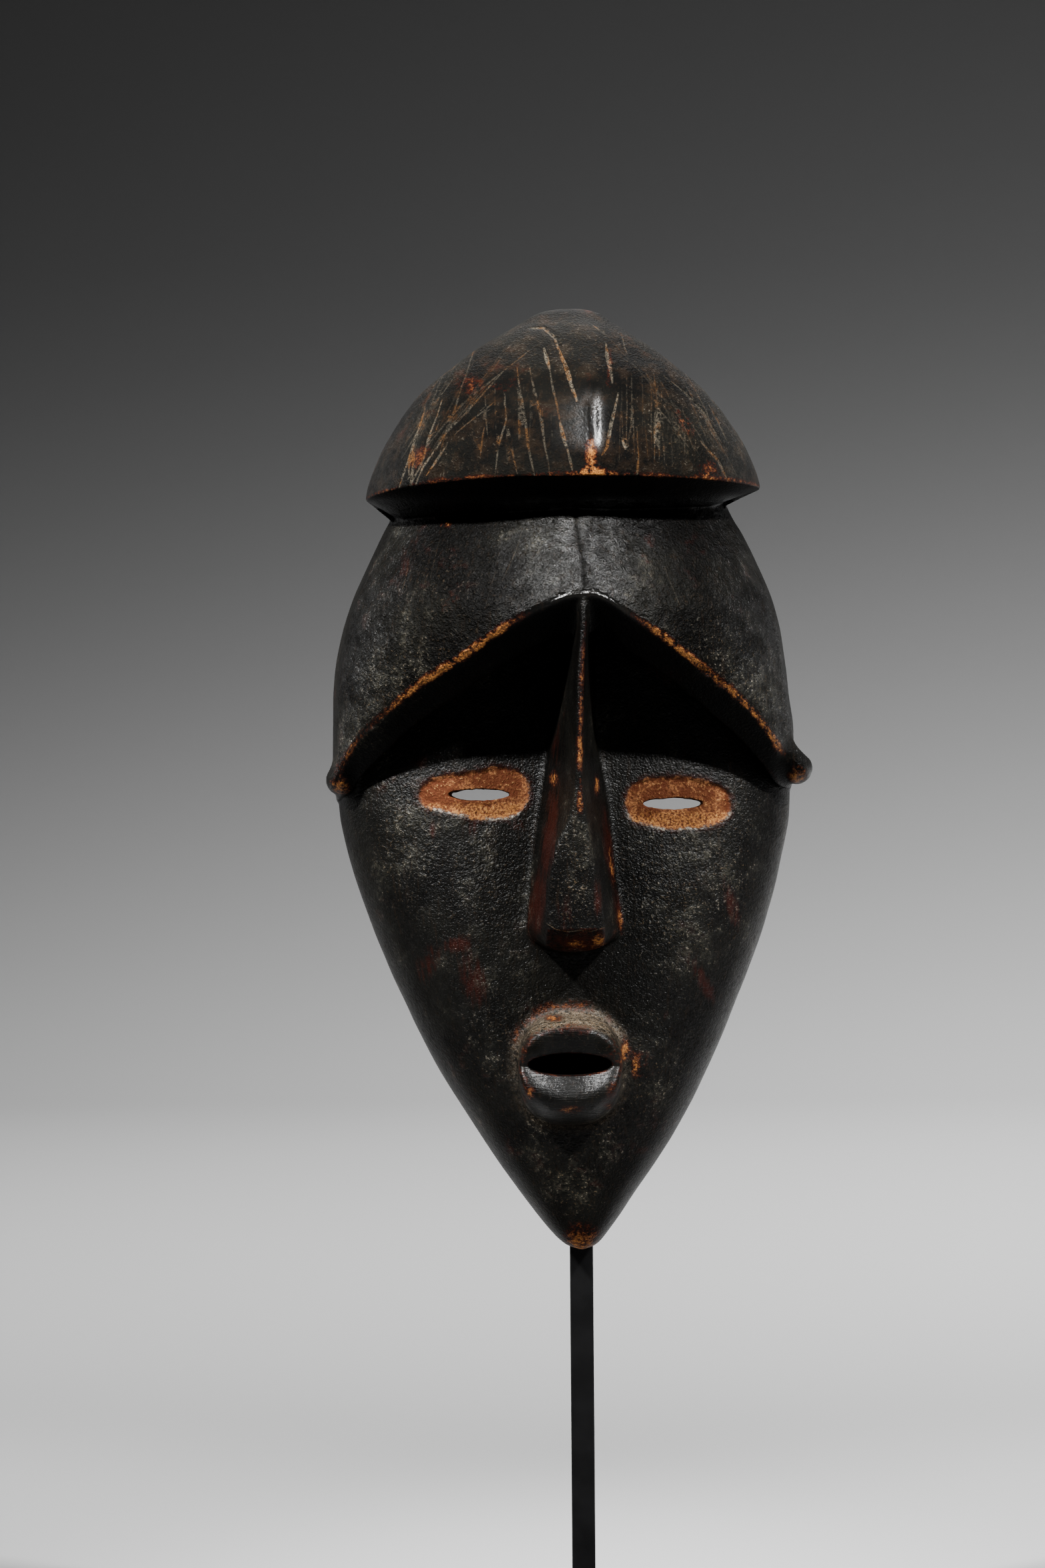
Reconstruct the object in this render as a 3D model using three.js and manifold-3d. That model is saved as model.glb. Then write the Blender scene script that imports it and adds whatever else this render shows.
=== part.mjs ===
// A lwalwa mask of carved, blackened wood on its black steel display stand.
// Millimetres, +Z up, the mask looks along -Y, and the origin is the centre of the stand's foot.
// The mask is carved as a carver would: whole forms are blocked out, joined, then cut back.
// Its own measures are x (to the right), z (up from the chin tip) and d (forward from the back rim).

import * as THREE from 'three';
import { mergeVertices } from 'three/addons/utils/BufferGeometryUtils.js';
import Module from 'manifold-3d';

// Where the mask hangs
const CHIN_HEIGHT = 150;
const BACK_RIM_Y = 15.7;
const SEAT_GAP = 0.3;

// Stand
const BASE_WIDTH = 140;
const BASE_DEPTH = 130;
const BASE_THICKNESS = 10;
const BASE_CORNER = 4;
const BASE_EASE = 1;
const ROD_SIDE = 8;
const ROD_Y = BACK_RIM_Y + SEAT_GAP + ROD_SIDE / 2;
const ARM_SIDE = 6;
const HOOK_HALF = 14;
const HOOK_DEPTH = 16;
const YOKE_HALF = 30;
const YOKE_DEPTH = 31;
const YOKE_HEIGHT = 104;

// Face: the long leaf that carries eyes, nose and mouth
const FACE_TOP = 238;
const FACE_BELT = 12;
const FACE_FULLNESS = 2.8;
const ROUND_SHOULDER = 2;

// Brow and forehead: the visor that stands over the eyes
const VISOR_FOOT = 154;
const VISOR_TOP = 258;
const VISOR_BELT = 14;
const VISOR_FULLNESS = 1.3;
const VISOR_SHOULDER = 2.5;
const SOFFIT_BACK = 11;
const BROW_TIPS = [
  { from: { x: -73, z: 182, d: 36 }, to: { x: -81.2, z: 162, d: 25 }, radius: 5.2 },
  { from: { x: 62, z: 184, d: 37 }, to: { x: 74.6, z: 164.9, d: 25 }, radius: 5.6 },
];
const TIP_START_RADIUS = 2;
const TIP_DEPTH_RATIO = 1.8;

// Cap of hair: a dome with an overhanging rim
const CAP_TOP = 321.8;
const CAP_CENTRE_X = -2;
const CAP_CENTRE_DEPTH = 28;
const CAP_LEFT = 70;
const CAP_RIGHT = 64.8;
const CAP_FRONT = 52;
const CAP_BACK = 62;
const CAP_RIGHT_LEAN = 0.055;
const CAP_FRONT_FULLNESS = 0.06;
const CAP_RIM_LEFT = 257.6;
const CAP_RIM_RIGHT = 260.6;
const CAP_RIM_FRONT = 263.2;
const RIM_EDGE = 2.2;
const UNDERCUT_LEFT = { inset: 8.4, drop: 6.8 };
const UNDERCUT_RIGHT = { inset: 10.5, drop: 5.6 };
const UNDERCUT_FRONT = { inset: 14, drop: 11 };
const KEEL_X = 5;
const KEEL_HEIGHT = 1.4;

// Nose and mouth
const NOSE_SOLE = 103.4;
const NOSE_CURL = 8.1;
const NOSE_TIP_SLOPE = 12;
const NOSE_CORNER_LEFT = 8.7;
const NOSE_CORNER_RIGHT = 11;
const NOSE_ROOT_DEPTH = 5;
const NOSE_EDGE_FALL = 2.8;
const MOUTH_X = -3.9;
const MOUTH_Z = 63.5;
const LIP_Z = 65.2;
const LIP_DEPTH = 64;
const LIP_SLOPE = 1.9;
const GROOVE_DEPTH = 6.5;
const MOUTH_BOTTOM_DEPTH = 46;

// Eyes
const EYES = [
  { x: -36, z: 156.8, slitX: -34.6, slitZ: 156.5 },
  { x: 34, z: 153.6, slitX: 32.9, slitZ: 152.9 },
];
const EYE_WIDTH = 38;
const EYE_HEIGHT = 18;
const EYE_SINK = 0.9;
const SLIT_WIDTH = 21.5;
const SLIT_HEIGHT = 4.2;

// Hollow back
const HOLLOW_TOP = 298;
const HOLLOW_BELT = 4;
const HOLLOW_FULLNESS = 2.6;
const FACE_WALL = 8;

const wasm = await Module();
wasm.setup();

// A smooth curve through a few [position, value] pairs, which never swings past them
function smoothCurve(pairs) {
  const count = pairs.length;
  const slopes = [];
  for (let i = 0; i < count - 1; i += 1) {
    slopes.push((pairs[i + 1][1] - pairs[i][1]) / (pairs[i + 1][0] - pairs[i][0]));
  }
  const tangents = pairs.map((pair, i) => {
    if (i === 0) return slopes[0];
    if (i === count - 1) return slopes[count - 2];
    const before = slopes[i - 1];
    const after = slopes[i];
    return before * after <= 0 ? 0 : (2 * before * after) / (before + after);
  });
  return (position) => {
    const t = Math.min(Math.max(position, pairs[0][0]), pairs[count - 1][0]);
    let i = 0;
    while (i < count - 2 && t > pairs[i + 1][0]) i += 1;
    const span = pairs[i + 1][0] - pairs[i][0];
    const s = (t - pairs[i][0]) / span;
    const stay = (1 + 2 * s) * (1 - s) ** 2;
    const reach = s * s * (3 - 2 * s);
    const leave = s * (1 - s) ** 2 * span;
    const arrive = s * s * (s - 1) * span;
    return stay * pairs[i][1] + reach * pairs[i + 1][1] + leave * tangents[i] + arrive * tangents[i + 1];
  };
}

// Outline of the face, left and right, from the chin up
const faceLeft = smoothCurve([
  [0, -1.8], [1.6, -5.4], [6, -10.3], [17.6, -19.7], [40.6, -35.3], [63.5, -49.3], [86.5, -60.8],
  [109.4, -70.4], [132.3, -78.2], [150.7, -82.1], [170, -83.4], [200, -81.8], [238, -69],
]);
const faceRight = smoothCurve([
  [0, 1.8], [1.6, 4.8], [6, 8.9], [17.3, 17], [40, 32.3], [62.8, 44.1], [85.6, 53.9],
  [108.4, 62.6], [131.2, 68.9], [149.5, 72.5], [170, 73.3], [200, 70.2], [238, 58],
]);
// How far the face stands forward of the back rim on its middle line
const faceDepth = smoothCurve([
  [0, 17], [2, 22], [7, 26.5], [20, 32], [40, 38], [63, 42], [90, 44.5], [120, 46], [150, 45],
  [180, 42], [238, 38],
]);
// The back edge of the chin is rounded off
const chinBack = smoothCurve([[0, 8], [2, 3.6], [6, 0.8], [11, 0]]);

// Outline of brow and forehead, left and right
const visorLeft = smoothCurve([
  [154, -83.2], [166, -84.4], [189.5, -84.1], [201, -83.1], [212.4, -80.7], [223.8, -77], [232.9, -73],
  [246.6, -66.3], [251, -63.8], [258, -59.6],
]);
const visorRight = smoothCurve([
  [154, 73.4], [166, 74.2], [178, 74.2], [188.3, 73.1], [199.8, 71.6], [211.2, 69.9], [222.7, 67],
  [231.8, 63.4], [245.6, 57], [250.2, 54.2], [255, 51.8], [258, 50],
]);
const visorDepth = smoothCurve([
  [154, 78], [170, 80], [190, 81.6], [206, 82.8], [217, 82.8], [226, 80.2], [236, 75.8], [247, 70],
  [258, 63.4],
]);
// The crease down the middle of the forehead, where its two halves meet like a prow
const visorMiddle = smoothCurve([[154, 2], [224, 2], [236, 1.3], [247, -0.4], [258, -1]]);
// Height of the brow's sharp lower edge across the face
const browEdge = smoothCurve([
  [-100, 128], [-83.6, 158.2], [-80.1, 166.6], [-74.7, 175.2], [-65.8, 183.4], [-53.6, 192.9],
  [-41.6, 200.2], [-29.3, 208.4], [-12.8, 217.8], [-1, 222], [3.9, 222.2], [18.1, 214.6],
  [30, 206.6], [42.2, 197], [54.4, 187.3], [61.9, 179.6], [66.8, 172.8], [76.9, 160.6], [95, 132],
]);
const soffitDrop = smoothCurve([[-84, 5], [-74, 13], [-45, 11], [0, 11], [45, 12], [66, 13], [76, 5]]);
const ceilingRise = smoothCurve([[-82, 0], [-66, 8], [0, 10], [60, 8], [74, 0]]);

// Nose: its two feet on the face, its ridge and the flat on its front
const noseLeft = smoothCurve([
  [103, -16], [110.4, -17.8], [136.6, -15.3], [154.7, -12.9], [172.8, -10.1], [190.7, -7.7],
  [208.6, -4.9], [220, -1.4], [230, -1],
]);
const noseRight = smoothCurve([
  [103, 11.4], [110.4, 13.4], [136.6, 10.9], [154.7, 9.2], [172.8, 6.1], [190.7, 5.3],
  [208.6, 5.2], [230, 4.8],
]);
const noseRidgeX = smoothCurve([[103, -2.2], [111, -2], [137, -2.6], [150, -0.8], [190, 0], [215, 1.5]]);
const noseFlat = smoothCurve([[103, 9.6], [111, 10], [137, 6.8], [152, 3], [172, 1.4], [222, 1.6]]);
const noseDepth = smoothCurve([[103, 70], [111, 71.5], [222, 82.4], [230, 76]]);

// Level slices: each has a left and a right edge and bulges forward between them from its belt
function faceSlice(z) {
  const [left, right, depth] = [faceLeft(z), faceRight(z), faceDepth(z)];
  return {
    left,
    right,
    middle: (left + right) / 2,
    belt: Math.min(FACE_BELT, depth * 0.55),
    depth,
    fullness: FACE_FULLNESS,
    shoulder: ROUND_SHOULDER,
  };
}

function visorSlice(z) {
  return {
    left: visorLeft(z),
    right: visorRight(z),
    middle: visorMiddle(z),
    belt: VISOR_BELT,
    depth: visorDepth(z),
    fullness: VISOR_FULLNESS,
    shoulder: VISOR_SHOULDER,
  };
}

// Forward depth of a slice, at a side from -1 at its left edge to 1 at its right edge
function sliceDepth(slice, side) {
  const arch = Math.max(0, 1 - Math.abs(side) ** slice.fullness) ** (1 / slice.shoulder);
  return slice.belt + (slice.depth - slice.belt) * arch;
}

function sliceFront(slice, x) {
  const reach = x < slice.middle ? slice.middle - slice.left : slice.right - slice.middle;
  return sliceDepth(slice, (x - slice.middle) / reach);
}

function faceFront(x, z) {
  return sliceFront(faceSlice(z), x);
}

function visorFront(x, z) {
  return sliceFront(visorSlice(z), x);
}

// A point of the mask in the part's own frame
function maskPoint(x, d, z) {
  return new THREE.Vector3(x, BACK_RIM_Y - d, CHIN_HEIGHT + z);
}

function signedVolume(positions, indices) {
  const a = new THREE.Vector3();
  const b = new THREE.Vector3();
  const c = new THREE.Vector3();
  let total = 0;
  for (let i = 0; i < indices.length; i += 3) {
    a.fromArray(positions, indices[i] * 3);
    b.fromArray(positions, indices[i + 1] * 3);
    c.fromArray(positions, indices[i + 2] * 3);
    total += a.dot(b.cross(c)) / 6;
  }
  return total;
}

// A closed body through rings of points that all have the same number of points
function loft(rings) {
  const size = rings[0].length;
  const positions = rings.flat().flatMap((point) => point.toArray());
  const indices = [];
  for (let row = 0; row < rings.length - 1; row += 1) {
    for (let i = 0; i < size; i += 1) {
      const j = (i + 1) % size;
      const low = row * size;
      const high = low + size;
      indices.push(low + i, low + j, high + j, low + i, high + j, high + i);
    }
  }
  [0, rings.length - 1].forEach((row, end) => {
    const centre = new THREE.Vector3();
    rings[row].forEach((point) => centre.addScaledVector(point, 1 / size));
    const tip = positions.length / 3;
    positions.push(...centre.toArray());
    for (let i = 0; i < size; i += 1) {
      const j = (i + 1) % size;
      const [first, second] = end === 0 ? [j, i] : [i, j];
      indices.push(row * size + first, row * size + second, tip);
    }
  });
  if (signedVolume(positions, indices) < 0) indices.reverse();
  const geometry = new THREE.BufferGeometry();
  geometry.setAttribute('position', new THREE.Float32BufferAttribute(positions, 3));
  geometry.setIndex(indices);
  return geometry;
}

function toSolid(geometry) {
  const bare = geometry.clone();
  bare.deleteAttribute('normal');
  bare.deleteAttribute('uv');
  const merged = mergeVertices(bare, 1e-4);
  return new wasm.Manifold(new wasm.Mesh({
    numProp: 3,
    vertProperties: new Float32Array(merged.attributes.position.array),
    triVerts: new Uint32Array(merged.index.array),
  }));
}

function toGeometry(solid) {
  const mesh = solid.getMesh();
  const geometry = new THREE.BufferGeometry();
  geometry.setAttribute('position', new THREE.BufferAttribute(new Float32Array(mesh.vertProperties), 3));
  geometry.setIndex(new THREE.BufferAttribute(new Uint32Array(mesh.triVerts), 1));
  return geometry;
}

// Even steps from one number to another
function steps(from, to, count) {
  return Array.from({ length: count + 1 }, (_, i) => from + ((to - from) * i) / count);
}

// Positions from -1 to 1 that crowd together towards both ends
function crowdedSides(count) {
  return steps(0, Math.PI, count).map((angle) => -Math.cos(angle));
}

// The outline of one slice: a flat back, walls that swell to the belt, and the bulging front
function sliceRing(slice, z, back, inset, sides) {
  const ring = [maskPoint(slice.left + inset, back, z)];
  crowdedSides(sides).forEach((side) => {
    const reach = side < 0 ? slice.middle - slice.left : slice.right - slice.middle;
    ring.push(maskPoint(slice.middle + reach * side, sliceDepth(slice, side), z));
  });
  ring.push(maskPoint(slice.right - inset, back, z));
  return ring;
}

function faceBody() {
  const levels = [0, 0.7, 2, 4, 7, 11, 17, 25, ...steps(36, 150, 9), ...steps(166, FACE_TOP, 4)];
  return loft(levels.map((z) => {
    const slice = faceSlice(z);
    const inset = Math.min(1.8, (slice.right - slice.left) / 8);
    return sliceRing(slice, z, chinBack(z), inset, 22);
  }));
}

function visorBody() {
  const levels = [VISOR_FOOT, 160, 168, 178, ...steps(188, 218, 3), 222, 226, ...steps(233, 254, 3),
    VISOR_TOP];
  return loft(levels.map((z) => sliceRing(visorSlice(z), z, 0, 2, 30)));
}

// The end of the brow, a horn that swells along its lower edge into a blunt knob
function browTip(tip) {
  const run = new THREE.Vector2(tip.to.x - tip.from.x, tip.to.z - tip.from.z);
  const length = run.length();
  const along = run.clone().divideScalar(length);
  const ringAt = (share, radius) => steps(0, 2 * Math.PI, 14).slice(1).map((angle) => {
    const beside = radius * Math.cos(angle);
    const x = tip.from.x + run.x * share - along.y * beside;
    const z = tip.from.z + run.y * share + along.x * beside;
    const d = tip.from.d + (tip.to.d - tip.from.d) * share;
    return maskPoint(x, d + radius * TIP_DEPTH_RATIO * Math.sin(angle), z);
  });
  const swell = steps(0, 1, 5).map((share) => (
    ringAt(share, TIP_START_RADIUS + (tip.radius - TIP_START_RADIUS) * share ** 1.5)
  ));
  const nose = steps(18, 85, 4).map((degrees) => {
    const turn = THREE.MathUtils.degToRad(degrees);
    return ringAt(1 + (tip.radius * Math.sin(turn)) / length, tip.radius * Math.cos(turn));
  });
  return loft([...swell, ...nose]);
}

// The hollow under the brow, taken out from below: a slanting soffit and a ceiling behind it
function browHollow() {
  const behind = 60;
  const ahead = 14;
  const floor = 100;
  const stations = [-100, -90, ...steps(-86, -66, 5), ...steps(-58, 50, 14), ...steps(56, 82, 6), 95];
  return loft(stations.map((x) => {
    const edgeHeight = browEdge(x);
    const edgeDepth = visorFront(x, edgeHeight);
    const drop = soffitDrop(x);
    const innerDepth = edgeDepth - SOFFIT_BACK;
    const innerHeight = edgeHeight - drop;
    const outerHeight = edgeHeight + (drop * ahead) / SOFFIT_BACK;
    const ceiling = innerHeight + ceilingRise(x);
    return [
      maskPoint(x, -behind, floor),
      maskPoint(x, edgeDepth + ahead, floor),
      maskPoint(x, edgeDepth + ahead, outerHeight),
      maskPoint(x, edgeDepth, edgeHeight),
      maskPoint(x, innerDepth, innerHeight),
      maskPoint(x, Math.min(faceFront(x, innerHeight), innerDepth) - 1, ceiling),
      maskPoint(x, -behind, ceiling),
    ];
  }));
}

// How high the dome stands, from 0 at its rim to 1 at its crown, at a share of its width
const domeRise = smoothCurve([
  [0, 1], [0.16, 0.968], [0.3, 0.877], [0.47, 0.765], [0.6, 0.657], [0.72, 0.548], [0.805, 0.437],
  [0.87, 0.328], [0.927, 0.218], [0.965, 0.115], [1, 0],
]);

// A value that runs from its left to its right through its front, at an angle around the cap
function aroundCap(angle, left, right, front) {
  const across = Math.cos(angle);
  const ahead = Math.max(0, Math.sin(angle)) ** 1.5;
  const side = left + ((right - left) * (1 + across)) / 2;
  return side + (front - side) * ahead;
}

// A point of the cap at an angle around its crown and a share of the way out to the rim
function capPlan(angle, share, inset) {
  const across = Math.cos(angle);
  const along = Math.sin(angle);
  const lean = 1 - CAP_RIGHT_LEAN * Math.sin(Math.PI * share);
  const halfWidth = (across < 0 ? CAP_LEFT : CAP_RIGHT * lean) - inset;
  const halfDepth = (along < 0 ? CAP_BACK : CAP_FRONT) - inset;
  const round = 2 / 2.15;
  const x = CAP_CENTRE_X + share * halfWidth * Math.sign(across) * Math.abs(across) ** round;
  const bare = CAP_CENTRE_DEPTH + share * halfDepth * Math.sign(along) * Math.abs(along) ** round;
  const keel = along > 0 ? KEEL_HEIGHT * share * Math.exp(-(((x - KEEL_X * share) / 7) ** 2)) : 0;
  return [x, bare + keel];
}

function capRim(angle) {
  return aroundCap(angle, CAP_RIM_LEFT, CAP_RIM_RIGHT, CAP_RIM_FRONT);
}

function capBody() {
  const angles = steps(-Math.PI, Math.PI, 56).slice(1);
  const ringAt = (share, inset, height) => angles.map((angle) => {
    const [x, d] = capPlan(angle, share, inset(angle));
    return maskPoint(x, d, height(angle));
  });
  const none = () => 0;
  const underInset = (angle) => aroundCap(
    angle, UNDERCUT_LEFT.inset, UNDERCUT_RIGHT.inset, UNDERCUT_FRONT.inset,
  );
  const underHeight = (angle) => capRim(angle) - aroundCap(
    angle, UNDERCUT_LEFT.drop, UNDERCUT_RIGHT.drop, UNDERCUT_FRONT.drop,
  );
  const rings = [
    ringAt(0.35, underInset, underHeight),
    ringAt(1, underInset, underHeight),
    ringAt(1, () => 0.7, (angle) => capRim(angle) - 0.6),
    ringAt(1, none, (angle) => capRim(angle) + 0.2),
  ];
  [0.998, 0.985, 0.965, 0.927, 0.87, 0.8, 0.72, 0.6, 0.47, 0.33, 0.18, 0.06].forEach((share) => {
    rings.push(ringAt(share, none, (angle) => {
      const start = capRim(angle) + RIM_EDGE;
      const fuller = CAP_FRONT_FULLNESS * Math.max(0, Math.sin(angle)) * Math.sin(Math.PI * share);
      return start + (CAP_TOP - start) * (domeRise(share) + fuller);
    }));
  });
  return loft(rings);
}

// Everything behind the back rim's plane is cut off flat
function backBlock() {
  const thickness = 120;
  const block = new THREE.BoxGeometry(400, thickness, 500);
  block.translate(0, BACK_RIM_Y + thickness / 2, CHIN_HEIGHT + 150);
  return block;
}

function noseBody() {
  const levels = [NOSE_SOLE, 104.2, 105.6, 108, NOSE_SOLE + NOSE_CURL, ...steps(119, 152, 4),
    ...steps(162, 222, 6), 228];
  return loft(levels.map((z) => {
    const above = Math.min(1, (z - NOSE_SOLE) / NOSE_CURL);
    const pull = 1 - Math.sqrt(1 - (1 - above) ** 2);
    const left = noseLeft(z) + NOSE_CORNER_LEFT * pull;
    const right = noseRight(z) - NOSE_CORNER_RIGHT * pull;
    const ridge = noseRidgeX(z);
    const flatLeft = Math.max(ridge - noseFlat(z), left + 0.6);
    const flatRight = Math.min(ridge + noseFlat(z), right - 0.6);
    const front = noseDepth(z) - NOSE_TIP_SLOPE * pull;
    const foot = faceFront(ridge, z);
    const edge = front - NOSE_EDGE_FALL;
    const facet = front - 0.5;
    return [
      maskPoint(left, foot - NOSE_ROOT_DEPTH, z),
      maskPoint(left + 0.2, foot, z),
      maskPoint(flatLeft, edge, z),
      maskPoint(ridge + (flatLeft - ridge) * 0.72, facet, z),
      maskPoint(ridge, front, z),
      maskPoint(ridge + (flatRight - ridge) * 0.72, facet, z),
      maskPoint(flatRight, edge, z),
      maskPoint(right - 0.2, foot, z),
      maskPoint(right, foot - NOSE_ROOT_DEPTH, z),
    ];
  }));
}

// An upright ring with its own width, height and depth at each point, facing forward
function ovalRing(centreX, centreZ, halfWidth, halfHeight, depthAt, sides, squareness) {
  const power = 2 / squareness;
  return steps(0, 2 * Math.PI, sides).slice(1).map((angle) => {
    const across = Math.sign(Math.cos(angle)) * Math.abs(Math.cos(angle)) ** power;
    const up = Math.sign(Math.sin(angle)) * Math.abs(Math.sin(angle)) ** power;
    const x = centreX + halfWidth * across;
    const z = centreZ + halfHeight * up;
    return maskPoint(x, depthAt(x, z), z);
  });
}

function mouthBoss() {
  const seat = faceFront(MOUTH_X, MOUTH_Z);
  const ring = (rise, halfWidth, halfHeight, d) => (
    ovalRing(MOUTH_X, MOUTH_Z + rise, halfWidth, halfHeight, () => d, 28, 2.6)
  );
  return loft([
    ring(0, 17.6, 19, seat - 8),
    ring(0, 17.4, 18.8, seat + 2),
    ring(0.6, 17.6, 17.2, seat + 10),
    ring(1.3, 17, 14.4, LIP_DEPTH - 3.4),
    ring(LIP_Z - MOUTH_Z, 16.2, 12.4, LIP_DEPTH),
  ]);
}

// The groove between the lips: two slanting faces, then the open mouth itself
function mouthGroove() {
  const front = LIP_DEPTH + 8;
  return loft(steps(-24, 24, 8).map((across) => {
    const root = LIP_DEPTH - GROOVE_DEPTH + 0.008 * across ** 2;
    const rise = LIP_SLOPE * (front - root);
    return [
      maskPoint(MOUTH_X + across, root, LIP_Z),
      maskPoint(MOUTH_X + across, front, LIP_Z - rise),
      maskPoint(MOUTH_X + across, front, LIP_Z + rise),
    ];
  }));
}

function mouthOpening() {
  const ring = (halfWidth, halfHeight, d) => (
    ovalRing(MOUTH_X, LIP_Z + 0.5, halfWidth, halfHeight, () => d, 20, 2)
  );
  return loft([
    ring(11, 1.8, MOUTH_BOTTOM_DEPTH),
    ring(15.4, 3.6, MOUTH_BOTTOM_DEPTH + 4),
    ring(15.8, 3.8, LIP_DEPTH + 2),
  ]);
}

// The coloured patch around an eye is sunk evenly below the curved face
function eyePatch(eye) {
  const ring = (share, depthAt) => ovalRing(
    eye.x, eye.z, (EYE_WIDTH / 2) * share, (EYE_HEIGHT / 2) * share, depthAt, 24, 3.2,
  );
  const floor = (x, z) => faceFront(x, z) - EYE_SINK;
  return loft([ring(0.2, floor), ring(0.6, floor), ring(1, floor), ring(1, () => 60)]);
}

function eyeSlit(eye) {
  return loft([-10, 120].map((d) => (
    ovalRing(eye.slitX, eye.slitZ, SLIT_WIDTH / 2, SLIT_HEIGHT / 2, () => d, 16, 1.8)
  )));
}

// The inside of the mask: an even wall behind the face, deeper behind brow and cap
const hollowLeft = smoothCurve([
  [16, -6], [40, -24], [86, -50.5], [132, -68.5], [165, -74.5], [200, -73], [232, -63.5], [256, -53],
  [275, -46], [290, -32], [HOLLOW_TOP, -19],
]);
const hollowRight = smoothCurve([
  [16, 5], [40, 21], [86, 43.5], [132, 59], [165, 64], [200, 61.5], [232, 53.5], [256, 43],
  [275, 38], [290, 28], [HOLLOW_TOP, 17],
]);
const hollowDepth = smoothCurve([
  [16, 13], [30, 26], [63, 33], [90, 45 - FACE_WALL], [120, 46 - FACE_WALL], [155, 45 - FACE_WALL],
  [190, 33], [215, 30], [240, 38], [265, 44], [285, 38], [HOLLOW_TOP, 26],
]);

function hollowBack() {
  const levels = [16, 20, 27, ...steps(38, 155, 8), ...steps(170, 285, 8), 292, 296, HOLLOW_TOP];
  return loft(levels.map((z) => {
    const [left, right] = [hollowLeft(z), hollowRight(z)];
    const slice = {
      left,
      right,
      middle: (left + right) / 2,
      belt: HOLLOW_BELT,
      depth: hollowDepth(z),
      fullness: HOLLOW_FULLNESS,
      shoulder: ROUND_SHOULDER,
    };
    return sliceRing(slice, z, -3, -0.4, 18);
  }));
}

function carveMask() {
  const visor = toSolid(visorBody()).subtract(toSolid(browHollow()));
  let mask = toSolid(faceBody()).add(visor).add(toSolid(capBody()));
  BROW_TIPS.forEach((tip) => {
    mask = mask.add(toSolid(browTip(tip)));
  });
  mask = mask.subtract(toSolid(backBlock()));
  mask = mask.add(toSolid(noseBody())).add(toSolid(mouthBoss()));
  mask = mask.subtract(toSolid(mouthGroove())).subtract(toSolid(mouthOpening()));
  mask = mask.subtract(toSolid(hollowBack()));
  EYES.forEach((eye) => {
    mask = mask.subtract(toSolid(eyePatch(eye))).subtract(toSolid(eyeSlit(eye)));
  });
  return toGeometry(mask);
}

// A bar between two corners
function bar(low, high) {
  const size = new THREE.Vector3().subVectors(high, low);
  const block = new THREE.BoxGeometry(size.x, size.y, size.z);
  block.translate((low.x + high.x) / 2, (low.y + high.y) / 2, (low.z + high.z) / 2);
  return block;
}

// A bar laid across the inside of the mask, and the arm that carries it from the rod
function crossBar(half, depth, top) {
  const arm = ARM_SIDE / 2;
  const front = BACK_RIM_Y - depth;
  const bottom = top - ARM_SIDE;
  return [
    bar(new THREE.Vector3(-half, front, bottom), new THREE.Vector3(half, front + ARM_SIDE, top)),
    bar(new THREE.Vector3(-arm, front + arm, bottom), new THREE.Vector3(arm, ROD_Y, top)),
  ];
}

// Square rod with a hook under the cap and a yoke behind the cheeks, welded as one
function standRod() {
  const half = ROD_SIDE / 2;
  const top = CHIN_HEIGHT + HOLLOW_TOP - SEAT_GAP;
  const foot = new THREE.Vector3(-half, ROD_Y - half, BASE_THICKNESS + SEAT_GAP);
  const pieces = [
    bar(foot, new THREE.Vector3(half, ROD_Y + half, top)),
    ...crossBar(HOOK_HALF, HOOK_DEPTH, top),
    ...crossBar(YOKE_HALF, YOKE_DEPTH, CHIN_HEIGHT + YOKE_HEIGHT + ARM_SIDE),
  ];
  return toGeometry(pieces.map(toSolid).reduce((whole, piece) => whole.add(piece)));
}

function roundedPlate(halfWidth, halfDepth, corner) {
  const shape = new THREE.Shape();
  shape.moveTo(-halfWidth + corner, -halfDepth);
  shape.lineTo(halfWidth - corner, -halfDepth);
  shape.absarc(halfWidth - corner, -halfDepth + corner, corner, -Math.PI / 2, 0);
  shape.lineTo(halfWidth, halfDepth - corner);
  shape.absarc(halfWidth - corner, halfDepth - corner, corner, 0, Math.PI / 2);
  shape.lineTo(-halfWidth + corner, halfDepth);
  shape.absarc(-halfWidth + corner, halfDepth - corner, corner, Math.PI / 2, Math.PI);
  shape.lineTo(-halfWidth, -halfDepth + corner);
  shape.absarc(-halfWidth + corner, -halfDepth + corner, corner, Math.PI, 1.5 * Math.PI);
  return shape;
}

// Steel foot plate with its edges eased
function standBase() {
  const outline = roundedPlate(BASE_WIDTH / 2 - BASE_EASE, BASE_DEPTH / 2 - BASE_EASE, BASE_CORNER);
  const plate = new THREE.ExtrudeGeometry(outline, {
    depth: BASE_THICKNESS - 2 * BASE_EASE,
    curveSegments: 4,
    bevelThickness: BASE_EASE,
    bevelSize: BASE_EASE,
    bevelSegments: 1,
  });
  plate.translate(0, 0, BASE_EASE);
  return toGeometry(toSolid(plate));
}

const blackenedWood = new THREE.MeshStandardMaterial({ color: 0x1c1714, roughness: 0.5, metalness: 0 });
const blackSteel = new THREE.MeshStandardMaterial({ color: 0x101011, roughness: 0.55, metalness: 0.6 });

function piece(name, geometry, material) {
  const mesh = new THREE.Mesh(geometry, material);
  mesh.name = name;
  return mesh;
}

const lwalwaMask = new THREE.Group();
lwalwaMask.add(piece('mask', carveMask(), blackenedWood));
lwalwaMask.add(piece('stand_rod', standRod(), blackSteel));
lwalwaMask.add(piece('stand_base', standBase(), blackSteel.clone()));

export default lwalwaMask;
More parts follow.
